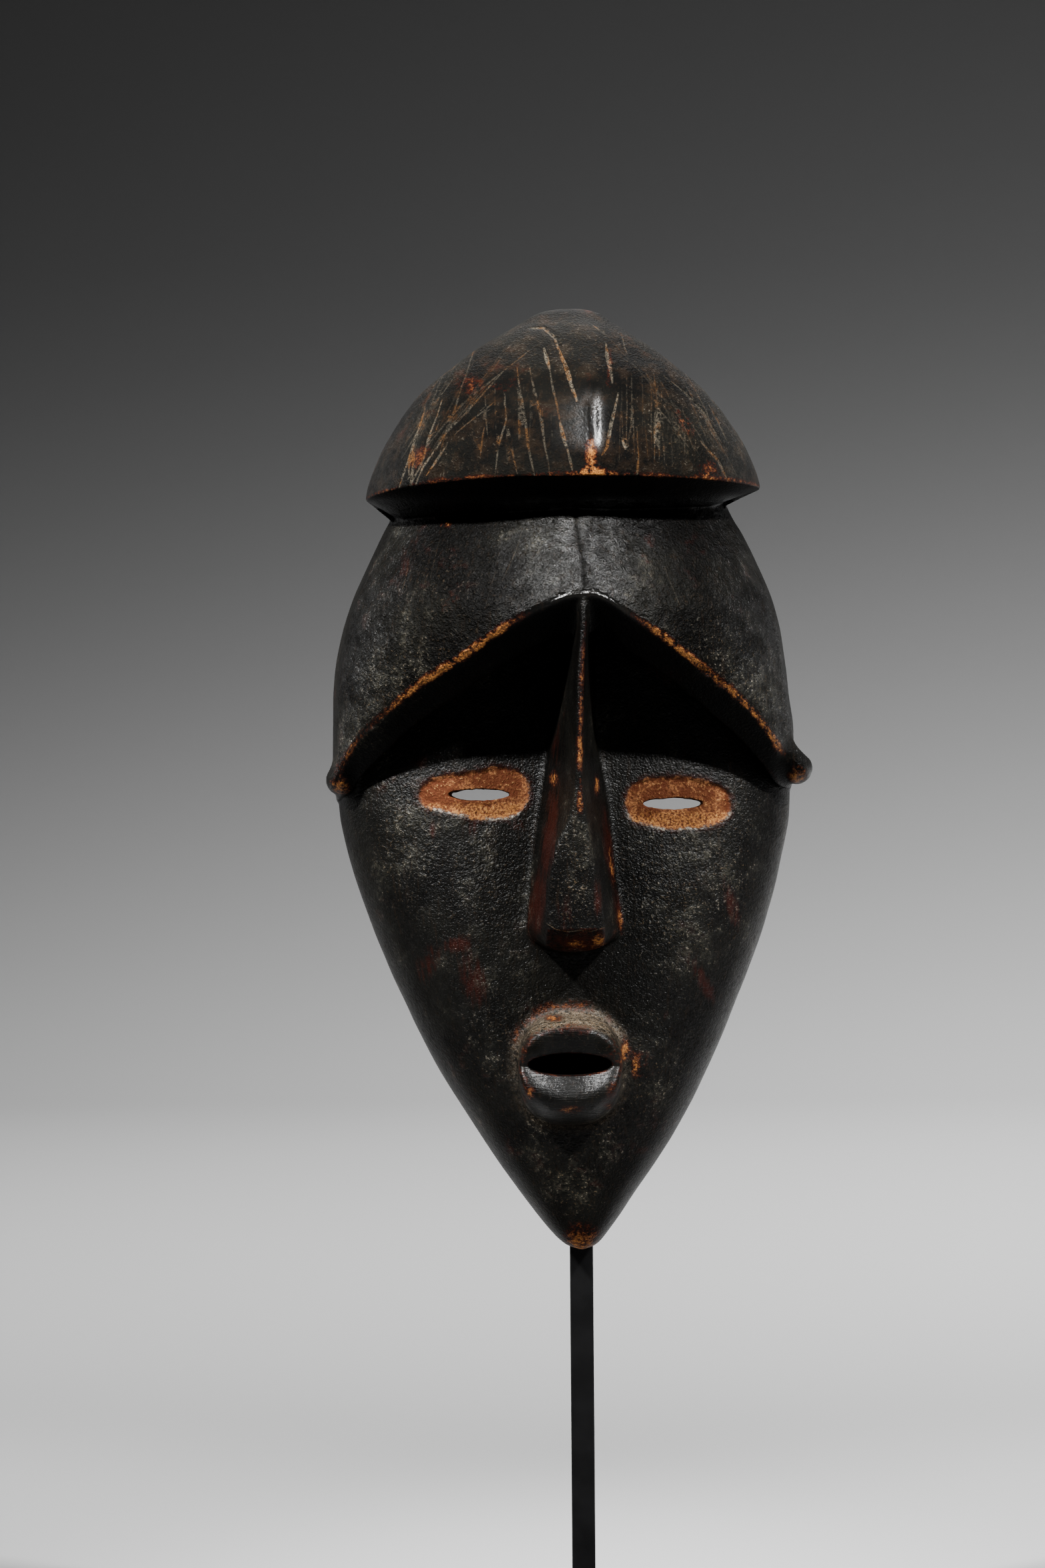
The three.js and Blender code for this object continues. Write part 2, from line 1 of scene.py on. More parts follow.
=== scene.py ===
# A lwalwa mask of carved and blackened wood on its black steel stand, dressed for the studio.
# The mask is carved here from one field of distances, as a carver takes a block down to a skin:
# whole forms are joined, cut back, worn and scratched, and then the skin is meshed.
# Carving measures are millimetres from the chin tip: x to the right, z up, d forward of the back rim.

import math
from types import SimpleNamespace

import bmesh
import bpy
import numpy as np
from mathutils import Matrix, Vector


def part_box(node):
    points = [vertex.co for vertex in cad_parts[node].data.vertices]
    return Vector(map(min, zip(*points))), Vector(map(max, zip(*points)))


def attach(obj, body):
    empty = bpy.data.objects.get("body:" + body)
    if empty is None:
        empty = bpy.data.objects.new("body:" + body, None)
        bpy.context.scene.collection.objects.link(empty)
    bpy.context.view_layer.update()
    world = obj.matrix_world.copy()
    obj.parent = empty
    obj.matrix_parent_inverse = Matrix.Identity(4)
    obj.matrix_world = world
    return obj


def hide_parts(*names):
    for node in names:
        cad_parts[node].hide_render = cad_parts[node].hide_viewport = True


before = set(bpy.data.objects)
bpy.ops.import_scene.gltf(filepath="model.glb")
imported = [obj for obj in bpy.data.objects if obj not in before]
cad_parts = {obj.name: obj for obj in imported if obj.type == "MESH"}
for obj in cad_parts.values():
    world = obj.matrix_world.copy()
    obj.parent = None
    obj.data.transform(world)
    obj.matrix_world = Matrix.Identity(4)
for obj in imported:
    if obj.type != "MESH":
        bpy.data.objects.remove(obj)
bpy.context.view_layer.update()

MM = 0.001
mask_low, mask_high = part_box("mask")
BACK_RIM_Y = mask_high.y / MM
CHIN_HEIGHT = mask_low.z / MM

# Carving sizes

FACE_TOP = 238
FACE_BELT = 12
FACE_FULLNESS = 2.8
ROUND_SHOULDER = 2

VISOR_FOOT = 154
VISOR_TOP = 258
VISOR_BELT = 14
VISOR_FULLNESS = 1.3
VISOR_SHOULDER = 2.5
SOFFIT_BACK = 11
BROW_ROUNDING = 1.7
BROW_TIPS = (
    {"start": (-73, 36, 182), "end": (-81.2, 25, 162), "radius": 5.2},
    {"start": (62, 37, 184), "end": (74.6, 25, 164.9), "radius": 5.6},
)
TIP_START_RADIUS = 2
TIP_DEPTH_RATIO = 1.8

CAP_TOP = 321.8
CAP_CENTRE = (-2, 28)
CAP_LEFT = 70
CAP_RIGHT = 64.8
CAP_FRONT = 52
CAP_BACK = 62
CAP_POWER = 2.15
CAP_RIGHT_LEAN = 0.055
CAP_FRONT_FULLNESS = 0.06
CAP_RIM = (257.6, 260.6, 263.2)
RIM_EDGE = 2.2
UNDERCUT_INSET = (8.4, 10.5, 14)
UNDERCUT_DROP = (6.8, 5.6, 11)
KEEL_X = 5
KEEL_HEIGHT = 2
KEEL_WIDTH = 5.4

NOSE_SOLE = 103.4
NOSE_CURL = 8.1
NOSE_TIP_SLOPE = 12
NOSE_CORNER_LEFT = 8.7
NOSE_CORNER_RIGHT = 11
MOUTH_X = -3.9
MOUTH_Z = 63.5
LIP_Z = 65.2
LIP_DEPTH = 64
LIP_SLOPE = 1.9
GROOVE_DEPTH = 6.5
MOUTH_BOTTOM_DEPTH = 46

HOLLOW_FOOT = 16
HOLLOW_TOP = 298
FACE_WALL = 8


class Curve:
    """A smooth curve through a few (position, value) pairs, which never swings past them."""

    def __init__(self, *pairs):
        self.at, self.value = np.array(pairs, float).T
        slope = np.diff(self.value) / np.diff(self.at)
        before, after = slope[:-1], slope[1:]
        same_way = before * after > 0
        even = 2 * before * after / np.where(same_way, before + after, 1)
        self.tangent = np.concatenate([slope[:1], np.where(same_way, even, 0), slope[-1:]])

    def __call__(self, position):
        t = np.clip(position, self.at[0], self.at[-1])
        i = np.clip(np.searchsorted(self.at, t, side="right") - 1, 0, len(self.at) - 2)
        span = self.at[i + 1] - self.at[i]
        s = (t - self.at[i]) / span
        stay = (1 + 2 * s) * (1 - s) ** 2
        reach = s * s * (3 - 2 * s)
        leave = s * (1 - s) ** 2 * span
        arrive = s * s * (s - 1) * span
        return (
            stay * self.value[i] + reach * self.value[i + 1]
            + leave * self.tangent[i] + arrive * self.tangent[i + 1]
        )


# Outlines and depths, from the chin up

face_left = Curve(
    (0, -1.8), (1.6, -5.4), (6, -10.3), (17.6, -19.7), (40.6, -35.3), (63.5, -49.3), (86.5, -60.8),
    (109.4, -70.4), (132.3, -78.2), (150.7, -82.1), (170, -83.4), (200, -81.8), (238, -69),
)
face_right = Curve(
    (0, 1.8), (1.6, 4.8), (6, 8.9), (17.3, 17), (40, 32.3), (62.8, 44.1), (85.6, 53.9),
    (108.4, 62.6), (131.2, 68.9), (149.5, 72.5), (170, 73.3), (200, 70.2), (238, 58),
)
face_depth = Curve(
    (0, 17), (2, 22), (7, 26.5), (20, 32), (40, 38), (63, 42), (90, 44.5), (120, 46), (150, 45),
    (180, 42), (238, 38),
)
chin_back = Curve((0, 8), (2, 3.6), (6, 0.8), (11, 0))

visor_left = Curve(
    (154, -83.2), (166, -84.4), (189.5, -84.1), (201, -83.1), (212.4, -80.7), (223.8, -77),
    (232.9, -73), (246.6, -66.3), (251, -63.8), (258, -59.6),
)
visor_right = Curve(
    (154, 73.4), (166, 74.2), (178, 74.2), (188.3, 73.1), (199.8, 71.6), (211.2, 69.9), (222.7, 67),
    (231.8, 63.4), (245.6, 57), (250.2, 54.2), (255, 51.8), (258, 50),
)
visor_depth = Curve(
    (154, 78), (170, 80), (190, 81.6), (206, 82.8), (217, 82.8), (226, 80.2), (236, 75.8), (247, 70),
    (258, 63.4),
)
visor_middle = Curve((154, 2), (224, 2), (236, 1.3), (247, -0.4), (258, -1))
brow_edge = Curve(
    (-100, 128), (-83.6, 158.2), (-80.1, 166.6), (-74.7, 175.2), (-65.8, 183.4), (-53.6, 192.9),
    (-41.6, 200.2), (-29.3, 208.4), (-12.8, 217.8), (-1, 222), (3.9, 222.2), (18.1, 214.6),
    (30, 206.6), (42.2, 197), (54.4, 187.3), (61.9, 179.6), (66.8, 172.8), (76.9, 160.6), (95, 132),
)
soffit_drop = Curve((-84, 5), (-74, 13), (-45, 11), (0, 11), (45, 12), (66, 13), (76, 5))
ceiling_rise = Curve((-82, 0), (-66, 8), (0, 10), (60, 8), (74, 0))

nose_left = Curve(
    (103, -16), (110.4, -17.8), (136.6, -15.3), (154.7, -12.9), (172.8, -10.1), (190.7, -7.7),
    (208.6, -4.9), (220, -1.4), (230, -1),
)
nose_right = Curve(
    (103, 11.4), (110.4, 13.4), (136.6, 10.9), (154.7, 9.2), (172.8, 6.1), (190.7, 5.3),
    (208.6, 5.2), (230, 4.8),
)
nose_ridge = Curve((103, -2.2), (111, -2), (137, -2.6), (150, -0.8), (190, 0), (215, 1.5))
nose_flat = Curve((103, 9.6), (111, 10), (137, 6.8), (152, 3), (172, 1.4), (222, 1.6))
nose_depth = Curve((103, 70), (111, 71.5), (218, 81.6), (230, 74))

# The dome's height and its steepness, from the crown at 0 to the rim at 1
dome_rise = Curve(
    (0, 1), (0.16, 0.968), (0.3, 0.877), (0.47, 0.765), (0.6, 0.657), (0.72, 0.548), (0.805, 0.437),
    (0.87, 0.328), (0.927, 0.218), (0.965, 0.115), (1, 0),
)
dome_slope = Curve((0, 0.1), (0.1, 0.45), (0.5, 0.7), (0.8, 1.4), (0.93, 2.2), (1, 3))

hollow_left = Curve(
    (HOLLOW_FOOT, -6), (40, -24), (86, -50.5), (132, -68.5), (165, -74.5), (200, -73), (232, -63.5),
    (256, -53), (275, -46), (290, -32), (HOLLOW_TOP, -19),
)
hollow_right = Curve(
    (HOLLOW_FOOT, 5), (40, 21), (86, 43.5), (132, 59), (165, 64), (200, 61.5), (232, 53.5),
    (256, 43), (275, 38), (290, 28), (HOLLOW_TOP, 17),
)
hollow_depth = Curve(
    (HOLLOW_FOOT, 13), (30, 26), (63, 33), (90, 45 - FACE_WALL), (120, 46 - FACE_WALL),
    (155, 45 - FACE_WALL), (190, 33), (215, 30), (240, 38), (265, 44), (285, 38), (HOLLOW_TOP, 26),
)

# The eyes: a sunk patch of red earth with a slit through it, both measured from the patch's middle
EYES = (
    {
        "x": -36, "z": 156.8, "half_width": 18.9, "slit_x": 1.3, "slit_z": -0.2, "pinch": -1,
        "top": Curve((-19, 1), (-17.4, 3.6), (-9.7, 6.2), (0, 7.8), (9, 9.2), (14.7, 7.8), (19, 4.6)),
        "foot": Curve((-19, -2.6), (-17.4, -3.8), (-4, -6.9), (3.4, -8.4), (12.9, -7.9), (19, -3)),
    },
    {
        "x": 34, "z": 153.4, "half_width": 18, "slit_x": -1.1, "slit_z": -0.3, "pinch": 1,
        "top": Curve((-19, 3.4), (-17, 5.6), (-12.4, 8), (-6, 8.7), (1.6, 8.6), (8.4, 7.5), (19, 3)),
        "foot": Curve((-19, -4.6), (-13.6, -6.7), (-4, -8.8), (3.4, -8.8), (10.8, -7.5), (19, -4)),
    },
)
SLIT_WIDTH = 21.8
SLIT_HEIGHT = 3.7
EYE_SINK = 0.8

# Joining and cutting of distance fields, with edges and inner corners rounded to a radius


def join(a, b, radius):
    near = np.maximum(radius - np.abs(a - b), 0) / radius
    return np.minimum(a, b) - near * near * radius / 4


def meet(a, b, radius):
    return -join(-a, -b, radius)


def cut(a, b, radius):
    return meet(a, -b, radius)


def ease(low, high, value):
    """0 below low, 1 above high and smooth between them, or turned round where low is the higher."""
    t = np.clip((value - low) / (high - low), 0, 1)
    return t * t * (3 - 2 * t)


def bell(value, middle, width):
    """1 at the middle, and a little over a third one width beside it."""
    return np.exp(-(((value - middle) / width) ** 2))


def bulge(x, d, outline, belt, depth, fullness, shoulder, inset):
    """A body whose level slices have a flat back, walls up to a belt, and a front that bulges."""
    left, middle, right = outline
    half = np.where(x < middle, middle - left, right - middle) - inset * np.clip(1 - d / belt, 0, 1)
    side = np.abs(x - middle) / half
    ahead = np.maximum(d - belt, 0) / (depth - belt)
    total = side**fullness + ahead**shoulder + 1e-6
    level = total ** (1 / shoulder)
    steep = np.hypot(
        fullness * side ** (fullness - 1) / half, shoulder * ahead ** (shoulder - 1) / (depth - belt)
    )
    return (level - 1) * shoulder * total / level / np.maximum(steep, 0.01)


def bulge_front(x, outline, belt, depth, fullness, shoulder):
    left, middle, right = outline
    side = np.abs(x - middle) / np.where(x < middle, middle - left, right - middle)
    return belt + (depth - belt) * np.maximum(0, 1 - side**fullness) ** (1 / shoulder)


def oval(x, z, centre_x, centre_z, half_width, half_height, power):
    """Distance to an upright tube with a rounded outline."""
    across = np.abs(x - centre_x) / half_width
    up = np.abs(z - centre_z) / half_height
    level = (across**power + up**power) ** (1 / power) + 1e-6
    steep = np.hypot(
        (across / level) ** (power - 1) / half_width, (up / level) ** (power - 1) / half_height
    )
    return (level - 1) / np.maximum(steep, 0.01)


# Each carved form


def face_belt(z):
    return np.minimum(FACE_BELT, face_depth(z) * 0.55)


def face_outline(z):
    return face_left(z), (face_left(z) + face_right(z)) / 2, face_right(z)


def visor_outline(z):
    return visor_left(z), visor_middle(z), visor_right(z)


def face_front(x, z):
    belt, depth = face_belt(z), face_depth(z)
    return bulge_front(x, face_outline(z), belt, depth, FACE_FULLNESS, ROUND_SHOULDER)


def visor_front(x, z):
    depth = visor_depth(z)
    return bulge_front(x, visor_outline(z), VISOR_BELT, depth, VISOR_FULLNESS, VISOR_SHOULDER)


def face_form(x, d, z):
    outline = face_outline(z)
    inset = np.minimum(1.8, (outline[2] - outline[0]) / 8)
    body = bulge(x, d, outline, face_belt(z), face_depth(z), FACE_FULLNESS, ROUND_SHOULDER, inset)
    body = meet(body, chin_back(z) - d, 1.5)
    return meet(meet(body, -z, 2), z - FACE_TOP, 2)


def brow_underside(x, d):
    """Height of the brow's underside: a slanting soffit band, and a ceiling behind it."""
    edge = brow_edge(x)
    drop = soffit_drop(x)
    inner_height = edge - drop
    inner_depth = visor_front(x, edge) - SOFFIT_BACK
    band = inner_height + (d - inner_depth) * drop / SOFFIT_BACK
    back = np.minimum(face_front(x, inner_height), inner_depth) - 1
    rise = ceiling_rise(x)
    ceiling = inner_height + np.minimum((inner_depth - d) * rise / (inner_depth - back), rise)
    return meet(band, ceiling, 1.5)


def visor_form(x, d, z):
    depth = visor_depth(z)
    body = bulge(x, d, visor_outline(z), VISOR_BELT, depth, VISOR_FULLNESS, VISOR_SHOULDER, 2)
    body = meet(meet(body, VISOR_FOOT - z, 1), z - VISOR_TOP, 1)
    return meet(body, (brow_underside(x, d) - z) / 1.5, BROW_ROUNDING)


def brow_tip(x, d, z, tip):
    """The end of the brow, a horn that swells along its lower edge into a blunt knob."""
    start, end = np.array(tip["start"], float), np.array(tip["end"], float)
    run_x, run_d, run_z = end - start
    length = math.hypot(run_x, run_z)
    share = ((x - start[0]) * run_x + (z - start[2]) * run_z) / length**2
    along = np.clip(share, 0, 1)
    beside = np.hypot(x - start[0] - run_x * along, z - start[2] - run_z * along)
    ahead = (d - start[1] - run_d * along) / TIP_DEPTH_RATIO
    return np.hypot(beside, ahead) - TIP_START_RADIUS - (tip["radius"] - TIP_START_RADIUS) * along**1.5


def around_cap(across, ahead, values):
    """A value that runs from its left to its right through its front."""
    left, right, front = values
    side = left + (right - left) * (1 + across) / 2
    return side + (front - side) * np.maximum(ahead, 0) ** 1.5


def cap_place(x, d):
    """How far out a point lies on the cap, from 0 at the crown to 1 at the rim, and which way."""
    right = CAP_RIGHT
    for _ in range(2):
        half_width = np.where(x < CAP_CENTRE[0], CAP_LEFT, right)
        across = (x - CAP_CENTRE[0]) / half_width
        along = (d - CAP_CENTRE[1]) / np.where(d < CAP_CENTRE[1], CAP_BACK, CAP_FRONT)
        share = (np.abs(across) ** CAP_POWER + np.abs(along) ** CAP_POWER) ** (1 / CAP_POWER) + 1e-6
        right = CAP_RIGHT * (1 - CAP_RIGHT_LEAN * np.sin(np.pi * np.minimum(share, 1)))
    turn = CAP_POWER / 2
    across = np.sign(across) * (np.abs(across) / share) ** turn
    along = np.sign(along) * (np.abs(along) / share) ** turn
    return share, across, along


def cap_form(x, d, z):
    keel = KEEL_HEIGHT * bell(x, KEEL_X, KEEL_WIDTH) * ease(CAP_CENTRE[1], CAP_FRONT, d)
    share, across, along = cap_place(x, d - keel)
    rim = around_cap(across, along, CAP_RIM)
    start = rim + RIM_EDGE
    inner = np.minimum(share, 1)
    rise = dome_rise(inner) + CAP_FRONT_FULLNESS * np.maximum(along, 0) * np.sin(np.pi * inner)
    roof = z - start - (CAP_TOP - start) * rise
    reach = np.where(along > 0, CAP_FRONT, CAP_LEFT)
    side = (share - 1) * reach
    inset = around_cap(across, along, UNDERCUT_INSET)
    drop = around_cap(across, along, UNDERCUT_DROP)
    inward = np.clip((-side - 0.7) / (inset - 0.7), 0, 1)
    floor = rim - 0.6 - (drop - 0.6) * inward
    cap = meet(roof / np.hypot(1, dome_slope(share)), side, 1.2)
    return meet(cap, (floor - z) / np.hypot(1, drop / inset), 1.0)


def nose_form(x, d, z):
    above = np.clip((z - NOSE_SOLE) / NOSE_CURL, 0, 1)
    pull = 1 - np.sqrt(np.maximum(0, 1 - (1 - above) ** 2))
    left = nose_left(z) + NOSE_CORNER_LEFT * pull
    right = nose_right(z) - NOSE_CORNER_RIGHT * pull
    ridge = nose_ridge(z)
    flat = nose_flat(z)
    front = nose_depth(z) - NOSE_TIP_SLOPE * (1 - above) ** 1.3
    foot = face_front(ridge, z)
    crown = 0.9 * np.minimum(((x - ridge) / flat) ** 2, 2)
    body = d - front + crown
    left_shoulder = np.maximum(ridge - flat, left + 0.6)
    right_shoulder = np.minimum(ridge + flat, right - 0.6)
    for edge, shoulder in ((left, left_shoulder), (right, right_shoulder)):
        run, climb = shoulder - edge, front - 2.4 - foot
        side = ((d - foot) * np.abs(run) - (x - edge) * climb * np.sign(run)) / np.hypot(run, climb)
        body = meet(body, side, 1.4 + 3 * pull)
    body = meet(body, NOSE_SOLE + 0.014 * (x - ridge) ** 2 - z, 2)
    return meet(body, z - 228, 2)


mouth_half_width = Curve((30, 17.6), (50, 17.5), (56, 17.5), (60.6, 17), (64, 16.2))
mouth_half_height = Curve((30, 19), (46, 18.8), (53, 17.2), (60.6, 14.4), (64, 12.4))
mouth_rise = Curve((30, 0), (46, 0), (53, 0.6), (60.6, 1.3), (64, LIP_Z - MOUTH_Z))


def mouth_form(x, d, z):
    middle = MOUTH_Z + mouth_rise(d)
    boss = oval(x, z, MOUTH_X, middle, mouth_half_width(d), mouth_half_height(d), 2.6)
    boss = meet(boss, d - LIP_DEPTH, 5)
    return meet(boss, 30 - d, 1)


def mouth_groove(x, d, z):
    root = LIP_DEPTH - GROOVE_DEPTH + 0.013 * (x - MOUTH_X) ** 2
    return (np.abs(z - LIP_Z) - LIP_SLOPE * (d - root)) / math.hypot(1, LIP_SLOPE)


def mouth_opening(x, d, z):
    deep = ease(MOUTH_BOTTOM_DEPTH, MOUTH_BOTTOM_DEPTH + 5, d)
    lens = oval(x, z, MOUTH_X, LIP_Z + 0.5, 11 + 3 * deep, 1.8 + 1.8 * deep, 2)
    return meet(lens, MOUTH_BOTTOM_DEPTH - d, 1)


def eye_patch(x, z, eye):
    across, up = x - eye["x"], z - eye["z"]
    level = meet(up - eye["top"](across), eye["foot"](across) - up, 1)
    return meet(level, np.abs(across) - eye["half_width"], 4)


def eye_slit(x, d, z, eye):
    """The slit, which narrows behind the face at the eye's outer corner."""
    narrow = 1.2 * ease(44, 38, d)
    middle = eye["x"] + eye["slit_x"] - eye["pinch"] * narrow
    height = eye["z"] + eye["slit_z"]
    return oval(x, z, middle, height, SLIT_WIDTH / 2 - narrow, SLIT_HEIGHT / 2, 1.9)


def hollow_form(x, d, z):
    outline = hollow_left(z), (hollow_left(z) + hollow_right(z)) / 2, hollow_right(z)
    body = bulge(x, d, outline, 4, hollow_depth(z), 2.6, ROUND_SHOULDER, -0.4)
    return meet(meet(body, HOLLOW_FOOT - z, 3), z - HOLLOW_TOP, 3)


def mask_form(x, d, z, outer_marks=0, inner_marks=0, ragged=0):
    """The whole mask: negative inside the wood, positive outside it. Marks sink its faces."""
    socket = ease(24, 38, d)
    wood = join(face_form(x, d, z), visor_form(x, d, z), 0.8 + 2.6 * socket)
    for tip in BROW_TIPS:
        wood = join(wood, brow_tip(x, d, z, tip), 3)
    wood = join(wood, cap_form(x, d, z), 1.4)
    wood = join(wood, nose_form(x, d, z), 2.4)
    mouth = meet(mouth_form(x, d, z), -mouth_groove(x, d, z), 2.6)
    wood = join(wood, mouth, 3.2) + outer_marks
    wood = meet(wood, -d, 0.8)
    wood = cut(wood, mouth_opening(x, d, z), 0.8)
    wood = cut(wood, hollow_form(x, d, z) - inner_marks, 1.4)
    for eye in EYES:
        wood = cut(wood, eye_slit(x, d, z, eye) + ragged, 0.5)
    return wood


# Small marks of carving and use

NOISE_CELLS = 32


class Noise:
    """Smooth random values in space, the same in every run."""

    def __init__(self, seed):
        self.table = np.random.default_rng(seed).uniform(-1, 1, (NOISE_CELLS,) * 3)

    def __call__(self, points, size):
        place = points / np.asarray(size, float)
        corner = np.floor(place).astype(int)
        part = place - corner
        part = part * part * (3 - 2 * part)
        total = 0
        for i in (0, 1):
            for j in (0, 1):
                for k in (0, 1):
                    at = (corner + (i, j, k)) % NOISE_CELLS
                    weight = np.prod(np.where((i, j, k), part, 1 - part), axis=1)
                    total = total + weight * self.table[at[:, 0], at[:, 1], at[:, 2]]
        return total


def line_distance(x, z, path):
    """Signed distance in the front view to a path of straight runs, and how far along it that is."""
    best = np.full(x.shape, 1e9)
    side = np.full(x.shape, 1e9)
    place = np.zeros(x.shape)
    runs = len(path) - 1
    for i, ((x0, z0), (x1, z1)) in enumerate(zip(path, path[1:])):
        run_x, run_z = x1 - x0, z1 - z0
        t = np.clip(((x - x0) * run_x + (z - z0) * run_z) / (run_x**2 + run_z**2), 0, 1)
        away = np.hypot(x - x0 - run_x * t, z - z0 - run_z * t)
        beside = ((x - x0) * run_z - (z - z0) * run_x) / math.hypot(run_x, run_z)
        nearer = away < best
        place = np.where(nearer, (i + t) / runs, place)
        side = np.where(nearer, beside, side)
        best = np.minimum(best, away)
    return side, best, place


# Cuts that mark the hair, drawn in the front view: path, half width and how pale they are worn
HAIR_CUTS = (
    (((-50.7, 287.4), (-60, 259.7)), 0.55, 0.9),
    (((-45.2, 289.4), (-52.5, 268.1), (-56.1, 260.2)), 0.55, 0.8),
    (((-45.5, 275), (-51.6, 267.6), (-54.1, 260.7)), 0.5, 1),
    (((-43.6, 274), (-50.1, 264.6)), 0.5, 0.9),
    (((-55, 272.6), (-55.6, 260.2)), 0.6, 0.9),
    (((-14.1, 307.3), (-38.5, 288.3), (-50, 274)), 0.45, 0.35),
    (((-23.5, 300.4), (-43.5, 278.4), (-51.1, 267.6)), 0.45, 0.5),
    (((-27.5, 288.7), (-40.6, 277.9)), 0.4, 0.4),
    (((-24.3, 290.6), (-23.9, 281.8), (-26.6, 272.9), (-27.8, 261.6)), 0.45, 0.5),
    (((-23.6, 280.3), (-19.8, 262.5)), 0.5, 0.45),
    (((-20, 300.4), (-18.2, 285.2), (-16.3, 272.8), (-14.2, 262.5)), 0.6, 0.45),
    (((-15.6, 299.4), (-13, 285.1), (-11.4, 275.8), (-9.3, 263.9)), 0.6, 0.45),
    (((-10.4, 306.2), (-9, 299.3)), 0.95, 1),
    (((-9, 299.3), (-7.8, 290.5), (-5.9, 280.6)), 0.55, 0.5),
    (((-5.9, 280.6), (-3.5, 271.3)), 0.9, 0.9),
    (((-3.5, 271.3), (-2.1, 264.9)), 0.6, 0.6),
    (((-15.5, 314.6), (-11.1, 314.4), (-7.2, 310.6), (-5.2, 305.2)), 0.7, 0.8),
    (((-5.2, 305.2), (-2.8, 297.3), (-0.5, 288.5)), 1.0, 1),
    (((-31, 279.4), (-32.8, 270)), 0.4, 0.4),
    (((10.1, 307.5), (11, 301.5), (11.8, 294.6)), 0.9, 0.7),
    (((13.6, 290), (11.7, 281.7), (9.8, 272.4), (8.4, 270.1)), 0.8, 0.8),
    (((18.8, 296.8), (18.2, 280.7), (16.7, 272.4)), 0.45, 0.3),
    (((26.6, 297.2), (26.9, 284)), 0.4, 0.3),
    (((26.9, 284), (25.7, 271.8)), 0.6, 0.8),
    (((20.4, 269.6), (19.7, 261.7)), 0.6, 0.6),
    (((14.9, 275.6), (15.8, 271.9)), 0.6, 1),
    (((30.8, 296.3), (37.2, 291.3), (43.2, 284.7), (48.7, 274.9)), 0.45, 0.5),
    (((41.7, 274.5), (47.3, 268.4), (50.5, 261.4)), 0.6, 0.6),
    (((15.7, 312.1), (16.6, 307), (17.5, 304.7)), 0.4, 0.4),
    (((6, 315), (9.2, 311.9)), 0.35, 0.7),
)


def faint_cuts():
    """Rows of lighter cuts between the main ones, fanning from the rim towards the crown."""
    draw = np.random.default_rng(41)
    cuts = []
    fans = (
        {"foot": (-60, -46), "height": 262, "lean": (0.25, 0.85), "long": (18, 44), "count": 12},
        {"foot": (-34, -8), "height": 264, "lean": (-0.25, 0.05), "long": (8, 24), "count": 8},
        {"foot": (14, 36), "height": 265, "lean": (-0.06, 0.06), "long": (8, 26), "count": 16},
        {"foot": (36, 60), "height": 262, "lean": (-0.85, -0.3), "long": (12, 40), "count": 16},
    )
    for fan in fans:
        for step in np.linspace(0, 1, fan["count"]):
            foot_x = fan["foot"][0] + step * (fan["foot"][1] - fan["foot"][0]) + draw.uniform(-1, 1)
            lean = fan["lean"][0] + draw.uniform(0, 1) * (fan["lean"][1] - fan["lean"][0])
            long = draw.uniform(*fan["long"])
            start = fan["height"] + draw.uniform(0, 14)
            path = (
                (foot_x, start),
                (foot_x + lean * long * 0.5, start + long * 0.5),
                (foot_x + lean * long * 1.05, start + long),
            )
            cuts.append((path, draw.uniform(0.28, 0.42), draw.uniform(0.1, 0.45)))
    return cuts


# The split along the nose tip, and scratches on the forehead
NOSE_SPLIT = ((-10.8, 113), (-8.4, 111.4), (-4.2, 110.7), (-0.6, 111.3), (3.4, 110.8), (7.6, 111.9))
OTHER_CUTS = (
    (NOSE_SPLIT, 0.3, 0.95),
    (((-4.6, 110.6), (-5, 107.6)), 0.22, 0.7),
    (((-18.6, 246.6), (-21, 238), (-24.8, 228.5)), 0.2, 0.4),
    (((-46.2, 243.5), (-49.7, 229)), 0.18, 0.3),
    (((-26.6, 233.6), (-30.5, 221)), 0.16, 0.25),
    (((29, 232), (34, 219)), 0.18, 0.4),
    (((-56, 238), (-59.6, 224.4)), 0.2, 0.35),
)

LAYERS = 4
ALL_CUTS = HAIR_CUTS + tuple(faint_cuts()) + OTHER_CUTS
CUT_DEPTH = 0.45
CUT_REACH = 3
THINNEST_CARVED = 0.4
SCOOP_SIZE = (9.0, 9.0, 16.0)
SCOOP_DEPTH = 0.5
wander = Noise(7)
waves = Noise(11)
chips = Noise(23)


def cut_lines(points, cuts):
    """For the nearest cut: signed distance, distance, half width and paleness, a row for each point."""
    found = np.tile([9.0, 9.0, 0.1, 0.0], (len(points), 1))
    near = (points[:, 2] > NOSE_SOLE) & (points[:, 1] > CAP_CENTRE[1] - 14)
    at = points[near]
    x, z = at[:, 0] + 0.5 * wander(at, 9), at[:, 2] + 0.4 * wander(at, 13)
    ragged = 1 + 0.3 * wander(at, 2.3)
    rows = found[near]
    for path, half_width, pale in cuts:
        corners = np.array(path)
        low, high = corners.min(0) - CUT_REACH, corners.max(0) + CUT_REACH
        close = np.flatnonzero((x > low[0]) & (x < high[0]) & (z > low[1]) & (z < high[1]))
        side, away, place = line_distance(x[close], z[close], path)
        taper = 0.3 + 0.5 * np.sin(np.pi * np.clip(0.06 + 0.88 * place, 0, 1))
        half = half_width * taper * ragged[close]
        nearer = away - half < rows[close, 1] - rows[close, 2]
        row = np.stack([side, away, half, np.full(len(close), pale)], 1)
        rows[close[nearer]] = row[nearer]
    found[near] = rows
    return found


def cut_depth(points):
    """How deep the wider cuts lie at each point, from 0 to 1."""
    wide = [cut for cut in ALL_CUTS if cut[1] >= THINNEST_CARVED]
    _, away, half, _ = cut_lines(points, wide).T
    notch = np.maximum(0, 1 - (away / half) ** 2)
    return notch * np.minimum(1, half / 0.7)


